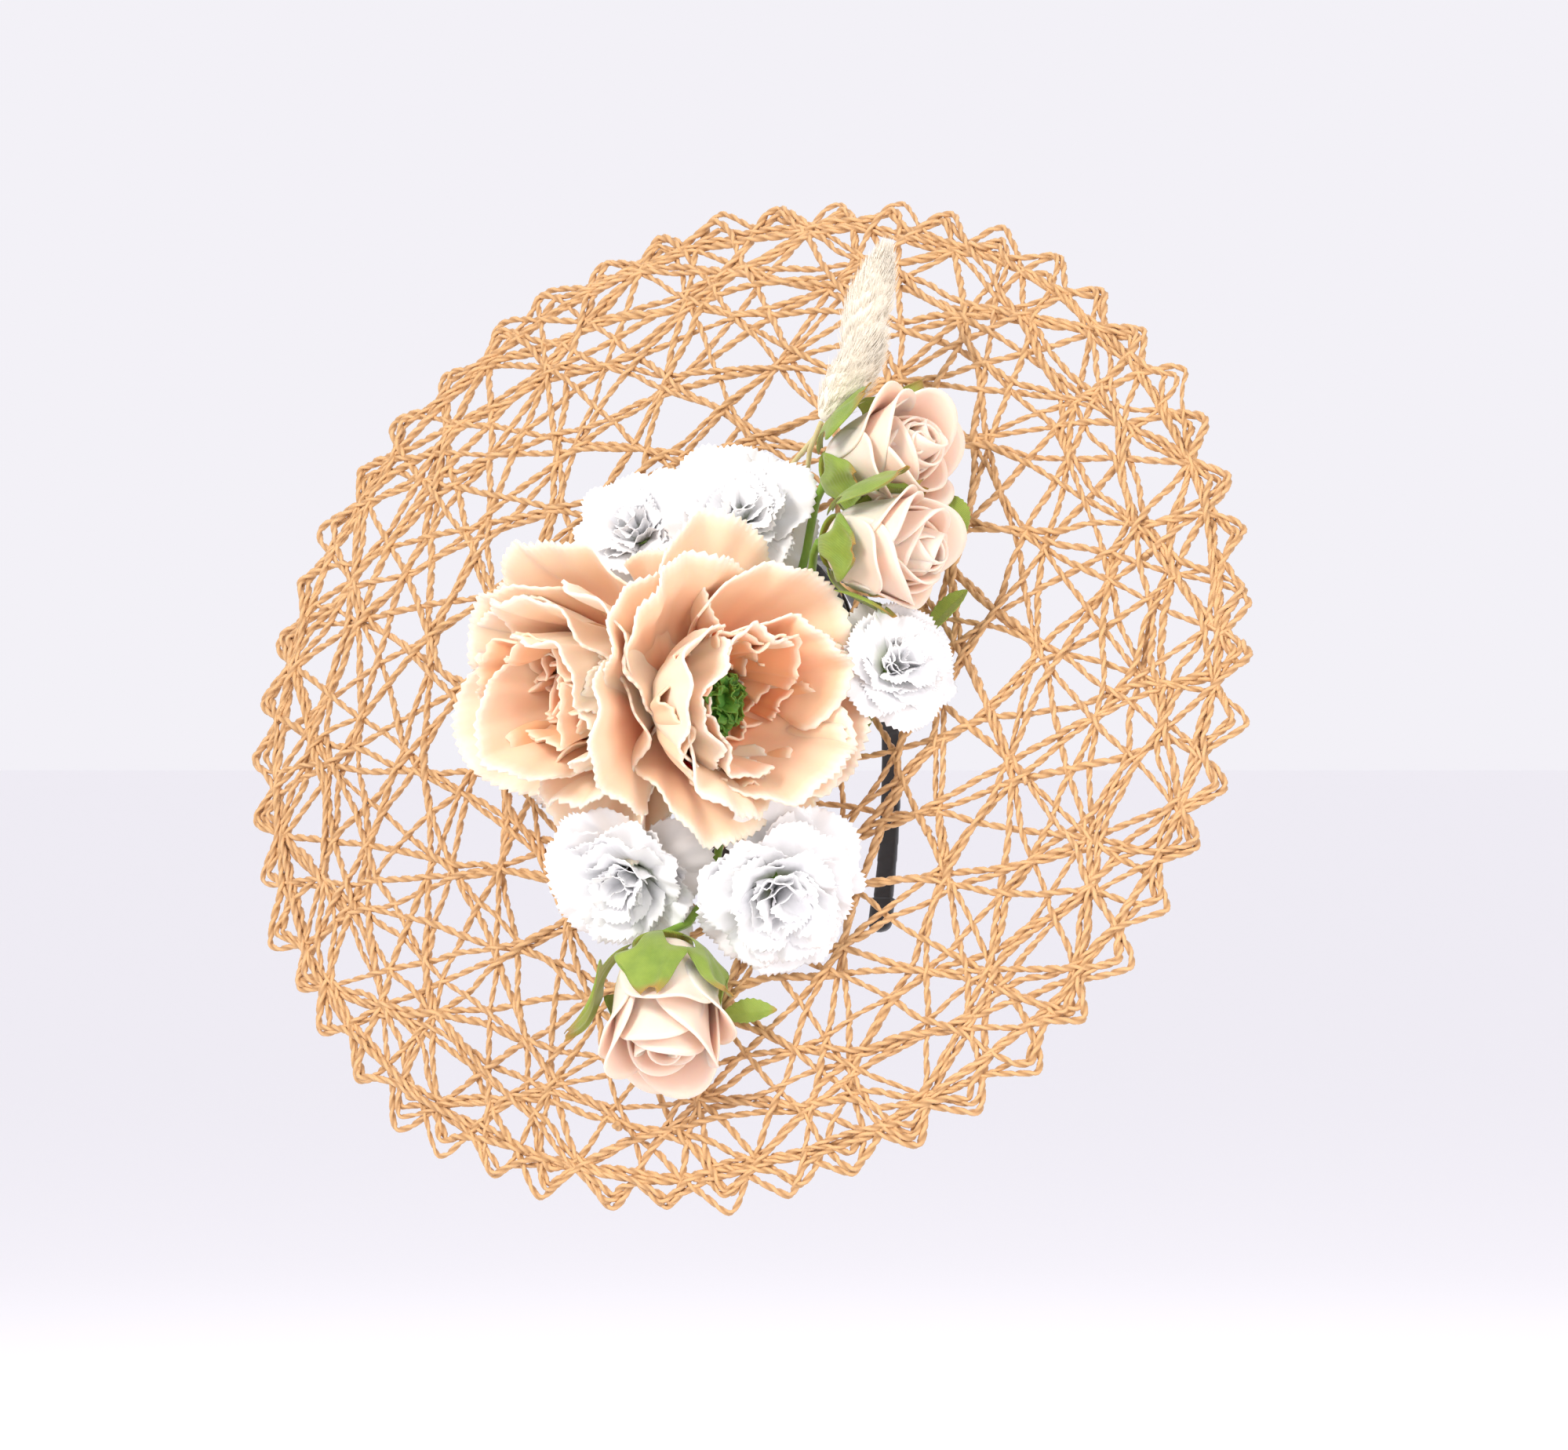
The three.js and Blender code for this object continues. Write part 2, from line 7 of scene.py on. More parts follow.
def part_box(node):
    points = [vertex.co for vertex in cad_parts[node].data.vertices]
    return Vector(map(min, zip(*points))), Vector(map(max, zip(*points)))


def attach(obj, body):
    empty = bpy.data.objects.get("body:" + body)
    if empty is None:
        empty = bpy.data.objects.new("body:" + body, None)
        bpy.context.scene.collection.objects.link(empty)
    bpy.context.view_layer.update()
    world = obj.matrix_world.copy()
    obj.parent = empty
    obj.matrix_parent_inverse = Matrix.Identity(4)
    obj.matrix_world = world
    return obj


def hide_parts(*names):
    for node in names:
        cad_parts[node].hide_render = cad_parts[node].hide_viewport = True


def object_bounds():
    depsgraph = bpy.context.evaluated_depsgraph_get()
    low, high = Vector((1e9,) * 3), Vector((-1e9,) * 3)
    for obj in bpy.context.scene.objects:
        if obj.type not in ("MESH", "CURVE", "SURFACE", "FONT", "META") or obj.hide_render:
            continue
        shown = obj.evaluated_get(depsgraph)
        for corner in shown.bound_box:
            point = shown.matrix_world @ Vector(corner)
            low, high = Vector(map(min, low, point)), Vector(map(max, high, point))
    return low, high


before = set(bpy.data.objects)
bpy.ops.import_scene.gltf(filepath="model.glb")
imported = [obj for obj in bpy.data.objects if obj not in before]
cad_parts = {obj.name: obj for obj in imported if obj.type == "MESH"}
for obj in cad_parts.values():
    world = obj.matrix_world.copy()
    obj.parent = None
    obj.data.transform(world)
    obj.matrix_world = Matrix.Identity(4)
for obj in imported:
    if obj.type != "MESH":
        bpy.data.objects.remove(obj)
cad_low, cad_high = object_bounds()

# ------------------------------------------------------------------ woven disc
# The disc is one long two-ply paper cord wound straight from peg to peg on a round jig, so that
# it turns at 51 scallops and crosses itself in stars. Knots of crossings are pressed together.
# It is stiff enough to hold its own shape, and its rim hangs 20 mm lower than its flat middle.
DISC_RADIUS = 210
SCALLOPS = 51
WEAVE_TURN = math.radians(4.1)
DOME_DROP = 20
FLAT_SHARE = 0.28
CORD_HALF = 1.3
PEG_RADIUS = 4.6
NEST_STEP = 2.4
# each scallop's shallow run to the fourth scallop on turns innermost round its peg
RIM_RUN = 4
TWIST_PER_STEP = math.pi / 6.5
STEP = 1.0
KNOT_PULL, KNOT_ROUNDS, KNOT_SHARE = 5.5, 4, 0.7
WAVER = 3.0
CLEARANCE, SETTLE_ROUNDS, LARGEST_RISE = 1.9, 60, 3.0
PEG_LIFT = 1.3
# scallops passed over by each straight run, and which of every three scallops it starts from
RUNS = ((4, (0, 1, 2)), (12, (0,)), (18, (0,)), (15, (1,)), (10, (0,)), (19, (1,)), (22, (2,)),
        (9, (2,)))


def box_middle(node):
    low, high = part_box(node)
    return (Vector(low) + Vector(high)) / 2


disc_axis = np.array((box_middle("felt_base") - box_middle("felt_backing")).normalized())
disc_centre = np.array((box_middle("felt_base") + box_middle("felt_backing")) / 2)
disc_up = np.cross(disc_axis, (1, 0, 0))
disc_turn = np.array([(1, 0, 0), disc_up / np.linalg.norm(disc_up), disc_axis])


def to_part(points):
    """Disc-frame millimetres to the part's metres."""
    return np.asarray(points, float) @ disc_turn * 0.001 + disc_centre


def to_disc(points):
    return (np.asarray(points, float) - disc_centre) @ disc_turn.T * 1000


def drop_at(radius):
    out = np.maximum(0, (radius / DISC_RADIUS - FLAT_SHARE) / (1 - FLAT_SHARE))
    return DOME_DROP * out * out


def colour(red, green, blue):
    """A screen colour from 0 to 255 as the linear colour that a shader socket takes."""
    return tuple(
        c / 12.92 if c <= 0.04045 else ((c + 0.055) / 1.055) ** 2.4
        for c in (red / 255, green / 255, blue / 255)) + (1,)


def put(tree, kind, inputs=None, **settings):
    """Adds a node; inputs holds constants or the sockets that feed it."""
    node = tree.nodes.new(kind)
    for key, value in settings.items():
        setattr(node, key, value)
    for key, value in (inputs or {}).items():
        if isinstance(value, bpy.types.NodeSocket):
            tree.links.new(value, node.inputs[key])
        else:
            node.inputs[key].default_value = value
    return node


def mottle_group():
    """Colour that drifts between two tones, with the noise itself as a height."""
    group = bpy.data.node_groups.new("mottle", "ShaderNodeTree")
    for name, kind in (("Light", "NodeSocketColor"), ("Dark", "NodeSocketColor"),
                       ("Scale", "NodeSocketFloat"), ("Stretch", "NodeSocketVector")):
        group.interface.new_socket(name, in_out="INPUT", socket_type=kind)
    group.interface.new_socket("Color", in_out="OUTPUT", socket_type="NodeSocketColor")
    group.interface.new_socket("Height", in_out="OUTPUT", socket_type="NodeSocketFloat")
    given = put(group, "NodeGroupInput")
    place = put(group, "ShaderNodeTexCoord")
    stretched = put(group, "ShaderNodeVectorMath",
                    {0: place.outputs["Object"], 1: given.outputs["Stretch"]},
                    operation="MULTIPLY")
    noise = put(group, "ShaderNodeTexNoise",
                {"Vector": stretched.outputs[0], "Scale": given.outputs["Scale"],
                 "Detail": 6.0, "Roughness": 0.6})
    tone = put(group, "ShaderNodeMix",
               {"Factor": noise.outputs["Fac"], "A": given.outputs["Dark"],
                "B": given.outputs["Light"]}, data_type="RGBA")
    put(group, "NodeGroupOutput",
        {"Color": tone.outputs["Result"], "Height": noise.outputs["Fac"]})
    return group


def mixed(tree, first, second, factor):
    """The colour between two others; each may be a colour or a socket."""
    return put(tree, "ShaderNodeMix", {"Factor": factor, "A": first, "B": second},
               data_type="RGBA").outputs["Result"]


def painted(tree, name):
    """A value that the mesh carries at its points."""
    return put(tree, "ShaderNodeAttribute", attribute_name=name).outputs["Fac"]


def ramp(tree, value, start, end, top=1.0):
    return put(tree, "ShaderNodeMapRange", {"Value": value, "From Min": start, "From Max": end,
                                            "To Max": top}).outputs["Result"]


mottle = mottle_group()


def new_finish(name, roughness, **constants):
    """A material with its Principled shader; constants are set on the shader's own sockets."""
    made = bpy.data.materials.new(name)
    made.use_nodes = True
    tree = made.node_tree
    shader = tree.nodes["Principled BSDF"]
    shader.inputs["Roughness"].default_value = roughness
    for key, value in constants.items():
        shader.inputs[key.replace("_", " ")].default_value = value
    return made, tree, shader


def put_mottle(tree, light, dark, scale, stretch=(1, 1, 1)):
    return put(tree, "ShaderNodeGroup", {"Light": light, "Dark": dark, "Scale": scale,
                                         "Stretch": stretch}, node_tree=mottle)


def dress(tree, shader, tone, height, strength, distance):
    """Gives the shader its colour and its raised grain."""
    bump = put(tree, "ShaderNodeBump", {"Height": height, "Strength": strength,
                                        "Distance": distance})
    tree.links.new(tone, shader.inputs["Base Color"])
    tree.links.new(bump.outputs["Normal"], shader.inputs["Normal"])


def mottled_finish(name, roughness, light, dark, grain, relief, stretch=(1, 1, 1), **constants):
    """A finish that drifts between two tones; relief is its bump's strength and distance."""
    made, tree, shader = new_finish(name, roughness, **constants)
    tone = put_mottle(tree, light, dark, grain, stretch)
    dress(tree, shader, tone.outputs["Color"], tone.outputs["Height"], *relief)
    return made


def make_piece(name, points, faces, finish, values=None, smooth=True):
    """A mesh from part-frame points in metres and arrays of quads or triangles."""
    mesh = bpy.data.meshes.new(name)
    flat = np.concatenate([np.asarray(f, np.int32).ravel() for f in faces])
    sizes = np.concatenate([np.full(len(f), len(f[0]), np.int32) for f in faces])
    mesh.vertices.add(len(points))
    mesh.vertices.foreach_set("co", np.asarray(points, np.float32).ravel())
    mesh.loops.add(len(flat))
    mesh.loops.foreach_set("vertex_index", flat)
    mesh.polygons.add(len(sizes))
    mesh.polygons.foreach_set("loop_start", np.concatenate([[0], np.cumsum(sizes)[:-1]]))
    mesh.polygons.foreach_set("use_smooth", np.full(len(sizes), smooth))
    mesh.update(calc_edges=True)
    for key, value in (values or {}).items():
        layer = mesh.attributes.new(key, "FLOAT", "POINT")
        layer.data.foreach_set("value", np.asarray(value, np.float32).ravel())
    mesh.validate()
    made = bpy.data.objects.new(name, mesh)
    bpy.context.scene.collection.objects.link(made)
    mesh.materials.append(finish)
    return made


def settle(piece, node, body="headpiece"):
    """Hides the CAD node that the piece stands in for, and hangs the piece on the body it rides."""
    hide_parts(node)
    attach(piece, body)
    return piece


def grid_quads(rows, columns, closed):
    """Quads over a grid of points numbered row by row; closed joins the last column on."""
    row, column = np.meshgrid(np.arange(rows - 1), np.arange(columns if closed else columns - 1),
                              indexing="ij")
    ahead = (column + 1) % columns
    quads = np.stack([row * columns + column, row * columns + ahead,
                      (row + 1) * columns + ahead, (row + 1) * columns + column], -1)
    return quads.reshape(-1, 4)


def tube_faces(count, sides):
    """The faces of a closed tube whose points are numbered ring by ring."""
    return [grid_quads(count, sides, True), np.arange(sides)[None, ::-1],
            (count - 1) * sides + np.arange(sides)[None]]


def paper_cord_finish():
    made, tree, shader = new_finish("paper_cord", 0.62, Sheen_Weight=0.15)
    broad = put_mottle(tree, colour(244, 202, 152), colour(216, 166, 112), 38)
    fibres = put_mottle(tree, broad.outputs["Color"], colour(196, 148, 92), 900, (1, 1, 3))
    fibred = mixed(tree, broad.outputs["Color"], fibres.outputs["Color"], 0.45)
    toned = mixed(tree, fibred, colour(222, 176, 118), painted(tree, "strand"))
    # painted shade: the groove between the plies is painted darker brown, standing in for the shade
    # that lies in it
    groove_shaded = mixed(tree, toned, colour(146, 100, 54), painted(tree, "groove_shade"))
    dress(tree, shader, groove_shaded, fibres.outputs["Height"], 0.35, 0.0003)
    return made


def unit(vectors):
    return vectors / np.maximum(np.linalg.norm(vectors, axis=-1, keepdims=True), 1e-9)


def smoothed(values, sigma):
    """Gaussian smoothing along the first axis, with the ends held."""
    reach = max(1, int(3 * sigma))
    weights = np.exp(-0.5 * (np.arange(-reach, reach + 1) / sigma) ** 2)
    weights /= weights.sum()
    padded = np.concatenate([np.repeat(values[:1], reach, 0), values,
                             np.repeat(values[-1:], reach, 0)])
    return sum(w * padded[i:i + len(values)] for i, w in enumerate(weights))


def scallop_pairs():
    """At each scallop, which run comes in and which goes out round the same peg."""
    going, coming = {}, {}
    for passed, starts in RUNS:
        for tip in range(SCALLOPS):
            if tip % 3 in starts:
                going.setdefault(tip, []).append(passed)
                coming.setdefault((tip + passed) % SCALLOPS, []).append(passed)
    pairs = {}
    for tip in range(SCALLOPS):
        back = sorted(p for p in coming[tip] if p != RIM_RUN)
        out = sorted((p for p in going[tip] if p != RIM_RUN), reverse=True)
        pairs[tip] = [*zip(back, out), (RIM_RUN, RIM_RUN)]
    return pairs


def wind_disc():
    """The straight runs in the order that the cord is wound, as lists of (tip, passed, nest)."""
    pairs = scallop_pairs()
    left = {(tip, out): nest for tip in pairs for nest, (_, out) in enumerate(pairs[tip])}
    windings = []
    while left:
        tip, passed = next(iter(left))
        winding = []
        while (tip, passed) in left:
            nest = left.pop((tip, passed))
            arrive = (tip + passed) % SCALLOPS
            arrive_nest = [back for back, _ in pairs[arrive]].index(passed)
            winding.append((tip, passed, nest, arrive, arrive_nest))
            tip, passed = arrive, pairs[arrive][arrive_nest][1]
        windings.append(winding)
    return windings


def peg_point(tip, nest, side, reaches, turns):
    """Where the cord meets a peg on one side of it: -1 coming in, 0 at the top, 1 going out."""
    angle = WEAVE_TURN + (tip / SCALLOPS) * 2 * math.pi + turns[tip, nest]
    out = reaches[tip, nest] - nest * NEST_STEP - (0 if side == 0 else PEG_RADIUS * 0.8)
    across = side * (PEG_RADIUS - 0.35 * nest)
    return np.array([out * math.cos(angle) - across * math.sin(angle),
                     out * math.sin(angle) + across * math.cos(angle)])


def crossings_of(starts, ends):
    """Every crossing of two runs: their numbers and how far along each one it is, in mm."""
    first, second = np.triu_indices(len(starts), 1)
    a, b = starts[first], ends[first] - starts[first]
    c, d = starts[second], ends[second] - starts[second]
    turn = b[:, 0] * d[:, 1] - b[:, 1] * d[:, 0]
    turn[np.abs(turn) < 1e-6] = 1e-6
    gap = c - a
    along_first = (gap[:, 0] * d[:, 1] - gap[:, 1] * d[:, 0]) / turn
    along_second = (gap[:, 0] * b[:, 1] - gap[:, 1] * b[:, 0]) / turn
    met = ((along_first > 0.02) & (along_first < 0.98)
           & (along_second > 0.02) & (along_second < 0.98))
    at = a[met] + b[met] * along_first[met, None]
    length_first = np.linalg.norm(b[met], axis=1)
    length_second = np.linalg.norm(d[met], axis=1)
    return (first[met], second[met], along_first[met] * length_first,
            along_second[met] * length_second, at)


def knots_of(at):
    """Crossings drawn together into knots: each moves to the middle of those close to it."""
    knots = at.copy()
    for _ in range(KNOT_ROUNDS):
        moved = np.empty_like(knots)
        for i, knot in enumerate(knots):
            near = np.exp(-((at - knot) ** 2).sum(1) / (2 * (KNOT_PULL / 1.6) ** 2))
            moved[i] = (at * near[:, None]).sum(0) / near.sum()
        knots = moved
    return knots


def weave_paths():
    """The centreline of each winding in the disc's frame, in mm, at even steps."""
    draw = np.random.default_rng(51)
    reaches = DISC_RADIUS - CORD_HALF - 1.2 + draw.normal(0, 1.2, (SCALLOPS, 5))
    turns = draw.normal(0, 0.007, (SCALLOPS, 5))
    windings = wind_disc()
    runs = [run for winding in windings for run in winding]
    starts = np.array([peg_point(r[0], r[2], 1, reaches, turns) for r in runs])
    ends = np.array([peg_point(r[3], r[4], -1, reaches, turns) for r in runs])
    first, second, along_first, along_second, at = crossings_of(starts, ends)
    knots = knots_of(at)
    lengths = np.linalg.norm(ends - starts, axis=1)
    ways = (ends - starts) / lengths[:, None]
    sides = np.stack([-ways[:, 1], ways[:, 0]], 1)

    # each run is drawn sideways to the knots that it passes
    shifts = []
    for run in range(len(runs)):
        here = np.concatenate([along_first[first == run], along_second[second == run]])
        move = np.concatenate([(knots - at)[first == run], (knots - at)[second == run]])
        steps = np.arange(0, lengths[run], STEP)
        near = np.exp(-((steps[:, None] - here[None]) ** 2) / (2 * 6.0 ** 2))
        shift = (near @ (move @ sides[run])) / (near.sum(1) + 0.4)
        ease = np.clip(np.minimum(steps, lengths[run] - steps) / 14, 0, 1)
        waver = smoothed(draw.normal(0, 1, len(steps)), 9) * WAVER
        shifts.append(KNOT_SHARE * shift * ease + waver * ease)

    # over and under: crossings push the two cords apart, and each cord is stiff and pulled flat
    coarse = 4.0
    counts = np.ceil(lengths / coarse).astype(int) + 2
    offsets = np.concatenate([[0], np.cumsum(counts)[:-1]])
    heights = np.zeros(counts.sum())
    one = offsets[first] + np.round(along_first / coarse).astype(int)
    two = offsets[second] + np.round(along_second / coarse).astype(int)
    order = np.where((np.arange(len(first)) + draw.integers(0, 2, len(first))) % 2, 1.0, -1.0)
    for _ in range(SETTLE_ROUNDS):
        apart = order * (heights[one] - heights[two])
        push = np.maximum(0, CLEARANCE - apart) * 0.3 * order
        np.add.at(heights, one, push)
        np.add.at(heights, two, -push)
        heights = 0.25 * np.roll(heights, 1) + 0.5 * heights + 0.25 * np.roll(heights, -1)
        heights = np.clip(heights * 0.985, -LARGEST_RISE, LARGEST_RISE)

    paths = []
    number = 0
    for winding in windings:
        parts = []
        for *_, arrive, arrive_nest in winding:
            steps = np.arange(0, lengths[number], STEP)
            flat = (starts[number] + steps[:, None] * ways[number]
                    + shifts[number][:, None] * sides[number])
            level = np.interp(steps, np.arange(counts[number]) * coarse,
                              heights[offsets[number]:offsets[number] + counts[number]])
            parts.append(np.column_stack([flat, level]))
            top = peg_point(arrive, arrive_nest, 0, reaches, turns)
            lift = (arrive_nest % 2) * 2 * PEG_LIFT - PEG_LIFT
            parts.append(np.array([[*top, lift], [*top, lift]]))
            number += 1
        path = np.concatenate(parts)
        path = np.concatenate([path, path[:1]])
        walked = np.concatenate([[0], np.cumsum(np.linalg.norm(np.diff(path, axis=0), axis=1))])
        count = int(walked[-1] / STEP)
        even = np.linspace(0, walked[-1], count + 1)
        path = np.column_stack([np.interp(even, walked, path[:, i]) for i in range(3)])
        reach = 12
        closed = np.concatenate([path[-1 - reach:-1], path, path[1:1 + reach]])
        path = smoothed(closed, 1.7)[reach:-reach]
        path[:, 2] -= drop_at(np.hypot(path[:, 0], path[:, 1]))
        paths.append(path)
    return paths


# one turn of the section: two plies side by side with a groove between them; the second list is how
# much painted shade each point gets, most in the groove
PLY_SECTION = np.array([(1, 0), (0.76, 0.62), (0, 0.5), (-0.76, 0.62),
                        (-1, 0), (-0.76, -0.62), (0, -0.5), (0.76, -0.62)]) * CORD_HALF
PLY_GROOVE_SHADE = np.array([0, 0.15, 1, 0.15, 0, 0.15, 1, 0.15])


def twisted_cord(name, path, finish, draw):
    """A two-ply cord along a path that lies nearly flat, closed at both ends."""
    along = unit(np.gradient(path, axis=0))
    across = unit(np.cross((0, 0, 1), along))
    above = np.cross(along, across)
    count = len(path)
    angle = np.arange(count) * TWIST_PER_STEP + smoothed(draw.normal(0, 1, count), 14) * 2
    size = (1 + 0.5 * smoothed(draw.normal(0, 1, count), 8))[:, None]
    a, b = PLY_SECTION[:, 0][None] * size, PLY_SECTION[:, 1][None] * size
    cos, sin = np.cos(angle)[:, None], np.sin(angle)[:, None]
    flat, high = a * cos - b * sin, a * sin + b * cos
    points = (path[:, None] + flat[..., None] * across[:, None]
              + high[..., None] * above[:, None]).reshape(-1, 3)
    sides = len(PLY_SECTION)
    # painted shade for the hollow between the plies, carried to the paper finish as a point value
    groove_shade = np.tile(PLY_GROOVE_SHADE, count)
    strand = np.repeat(np.clip(0.5 + smoothed(draw.normal(0, 1, count), 40) * 3, 0, 1), sides)
    return make_piece(name, to_part(points), tube_faces(count, sides), finish,
                      {"groove_shade": groove_shade * 0.7, "strand": strand * 0.5})


paper_cord = paper_cord_finish()
CORD_PIECE_STEPS = 6200
weave_draw = np.random.default_rng(7)
cord_number = 0
for path in weave_paths():
    parts = math.ceil(len(path) / CORD_PIECE_STEPS)
    cuts = np.linspace(0, len(path) - 1, parts + 1).astype(int)
    for begin, end in zip(cuts[:-1], cuts[1:]):
        cord_number += 1
        settle(twisted_cord(f"weave_cord_{cord_number}", path[begin:end + 1], paper_cord,
                            weave_draw), "woven_disc")

# the winding's loose end stands up out of the weave near the lower rim
loose_end = np.array([(-22, -170, -12), (-16, -174, -12), (-12, -178, -9), (-9.5, -180, -4),
                      (-8.5, -180.5, 1)], float)
walk = np.linspace(0, len(loose_end) - 1, 24)
loose_path = np.column_stack([np.interp(walk, range(len(loose_end)), loose_end[:, i])
                              for i in range(3)])
settle(twisted_cord("weave_loose_end", smoothed(loose_path, 1.5), paper_cord, weave_draw),
       "woven_disc")

# ------------------------------------------------------------------ felt rounds
# Two rounds of black wool felt with the weave between them, glued through its gaps. They are die
# cut, so the edge is clean but fuzzy, and the upper one dips a little between the cords.
FELT_SIDES = 96
FELT_RINGS = 16


def turned_round(profile, sides, wobble=None):
    """A closed body turned round z from (radius, height) pairs that start and end on the axis."""
    angle = np.linspace(0, 2 * math.pi, sides, endpoint=False)
    rings = np.array(profile[1:-1], float)
    radius = rings[:, :1] + np.zeros(sides)
    height = rings[:, 1:] + np.zeros(sides)
    if wobble is not None:
        radius, height = wobble(radius, height, angle)
    points = np.stack([radius * np.cos(angle), radius * np.sin(angle), height], -1).reshape(-1, 3)
    low, high = len(points), len(points) + 1
    points = np.concatenate([points, [(0, 0, profile[0][1]), (0, 0, profile[-1][1])]])
    here, ahead = np.arange(sides), (np.arange(sides) + 1) % sides
    last = (len(rings) - 1) * sides
    return points, [grid_quads(len(rings), sides, True),
                    np.stack([np.full(sides, low), ahead, here], -1),
                    np.stack([np.full(sides, high), last + here, last + ahead], -1)]


black_felt = mottled_finish("black_felt", 0.95, colour(44, 44, 48), colour(14, 14, 17), 420,
                            (0.7, 0.0006), Sheen_Weight=0.6, Sheen_Roughness=0.5)
felt_draw = np.random.default_rng(12)


def add_felt(node, low, high):
    radius = (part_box(node)[1].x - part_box(node)[0].x) * 500
    spread = np.linspace(0, 1, FELT_RINGS)
    profile = [(0, low)] + [(radius * s, low) for s in spread[1:-1]]
    profile += [(radius - 0.3, low + 0.1), (radius, (low + high) / 2), (radius - 0.3, high - 0.1)]
    profile += [(radius * s, high) for s in spread[-2:0:-1]] + [(0, high)]
    bumps = felt_draw.uniform(0, 2 * math.pi, 6)

    def wobble(radii, heights, angle):
        edge = sum(np.sin(angle * n + bumps[n % 6]) for n in (7, 13, 22, 31)) * 0.12
        dip = sum(np.sin(radii * 0.14 * n + angle * (3 + 2 * n) + bumps[n]) for n in (1, 2, 3))
        flat = np.clip((radius - radii) / 6, 0, 1)
        return radii + edge * radii / radius, heights + 0.09 * dip * flat

    points, faces = turned_round(profile, FELT_SIDES, wobble)
    settle(make_piece(f"{node}_round", to_part(points), faces, black_felt), node)


add_felt("felt_base", 2.3, 4.3)
add_felt("felt_backing", -4.3, -2.3)

# ------------------------------------------------------------------ glue
# A puddle of milky hot glue on the upper felt that the stems were pushed into while it was soft.
# It has set in lobes with a rounded edge, and its top swells and dips.
def glue_lobes(radii, heights, angle):
    lobes = 1 + 0.07 * np.sin(5 * angle + 1) + 0.05 * np.sin(11 * angle) + 0.03 * np.sin(17 * angle)
    swell = 0.5 + 0.5 * np.sin(radii * 0.3 + 3 * angle) * np.sin(4 * angle - radii * 0.2)
    top = (heights > 5.2) * np.clip((44 - radii) / 12, 0, 1)
    return radii * lobes, heights + swell * top * 1.6


glue_profile = [(0, 4.5)] + [(r, 4.5) for r in np.linspace(4, 41, 10)]
glue_profile += [(42.4, 4.8), (42.8, 5.2), (41.8, 5.7)]
glue_profile += [(r, 6.1) for r in np.linspace(40, 3, 14)] + [(0, 6.3)]
glue_points, glue_faces = turned_round(glue_profile, 90, glue_lobes)
hot_glue = mottled_finish("hot_glue", 0.22, colour(240, 232, 208), colour(214, 200, 164), 90,
                          (0.25, 0.001), Subsurface_Weight=0.5, Subsurface_Scale=0.004,
                          Coat_Weight=0.3)
settle(make_piece("glue_puddle", to_part(glue_points), glue_faces, hot_glue),
       "glue_bed")

# ------------------------------------------------------------------ headband
# A flat spring-steel strip wound edge over edge with 8 mm black satin ribbon, so that a low
# ridge crosses it at each turn. Folded satin caps close its ends.
BAND_RADIUS = 77.5
BAND_LOWER_RADIUS = 200
BAND_LOWER_ANGLE = math.radians(17)
RIBBON_PITCH = 7.0
BAND_STEPS, BAND_SIDES, CAP_STEPS = 900, 28, 22


def satin_finish():
    made, tree, shader = new_finish(
        "black_satin", 0.36, Sheen_Weight=0.3, Anisotropic=0.5, Specular_IOR_Level=0.55)
    place = put(tree, "ShaderNodeTexCoord")
    weft = put(tree, "ShaderNodeTexWave", {"Vector": place.outputs["Object"], "Scale": 900,
                                           "Distortion": 1.5},
               bands_direction="X", wave_profile="SIN")
    tone = put_mottle(tree, colour(34, 34, 40), colour(12, 12, 15), 160)
    dress(tree, shader, tone.outputs["Color"], weft.outputs["Fac"], 0.25, 0.0002)
    return made


def band_line(count):
    """Points, directions and outward normals along the band, from the right arm to the left."""
    shift = BAND_LOWER_RADIUS - BAND_RADIUS
    lower = BAND_LOWER_RADIUS * BAND_LOWER_ANGLE
    total = 2 * lower + math.pi * BAND_RADIUS
    walked = np.linspace(0, total, count)
    arm = np.clip((lower - walked) / BAND_LOWER_RADIUS, 0, None)
    crown = np.clip((walked - lower) / BAND_RADIUS, 0, math.pi)
    end = np.clip((walked - total + lower) / BAND_LOWER_RADIUS, 0, None)
    y = np.where(arm > 0, shift - BAND_LOWER_RADIUS * np.cos(arm),
                 np.where(end > 0, BAND_LOWER_RADIUS * np.cos(end) - shift,
                          -BAND_RADIUS * np.cos(crown)))
    z = np.where(arm > 0, -BAND_LOWER_RADIUS * np.sin(arm),
                 np.where(end > 0, -BAND_LOWER_RADIUS * np.sin(end),
                          BAND_RADIUS * np.sin(crown)))
    line = np.column_stack([np.zeros(count), y, z])
    along = unit(np.gradient(line, axis=0))
    return line, along, np.cross((1, 0, 0), along) * -1, walked


def rounded_section(half_width, half_depth, power, sides):
    """A flat section with soft corners, as (across, out) pairs round it."""
    angle = np.linspace(0, 2 * math.pi, sides, endpoint=False)
    cos, sin = np.cos(angle), np.sin(angle)
    return np.column_stack([half_width * np.sign(cos) * np.abs(cos) ** power,
                            half_depth * np.sign(sin) * np.abs(sin) ** power])


def add_wrapped_band():
    line, _, out, walked = band_line(BAND_STEPS)
    section = rounded_section(3.85, 1.3, 0.45, BAND_SIDES)
    slant = section[:, 0] * 0.35 * np.sign(section[:, 1] + 1e-9)
    turn = ((walked[:, None] + slant) / RIBBON_PITCH) % 1
    ridge = 0.22 * np.minimum(turn / 0.86, (1 - turn) / 0.14) ** 0.7
    size = 1 + ridge[..., None] * np.array([0.18, 0.75])
    across, depth = (section[None] * size)[..., 0], (section[None] * size)[..., 1]
    points = (line[:, None] + across[..., None] * np.array([1, 0, 0])
              + depth[..., None] * out[:, None]).reshape(-1, 3)
    settle(make_piece("band_wrapping", points * 0.001, tube_faces(BAND_STEPS, BAND_SIDES),
                      black_satin), "band_ribbon")


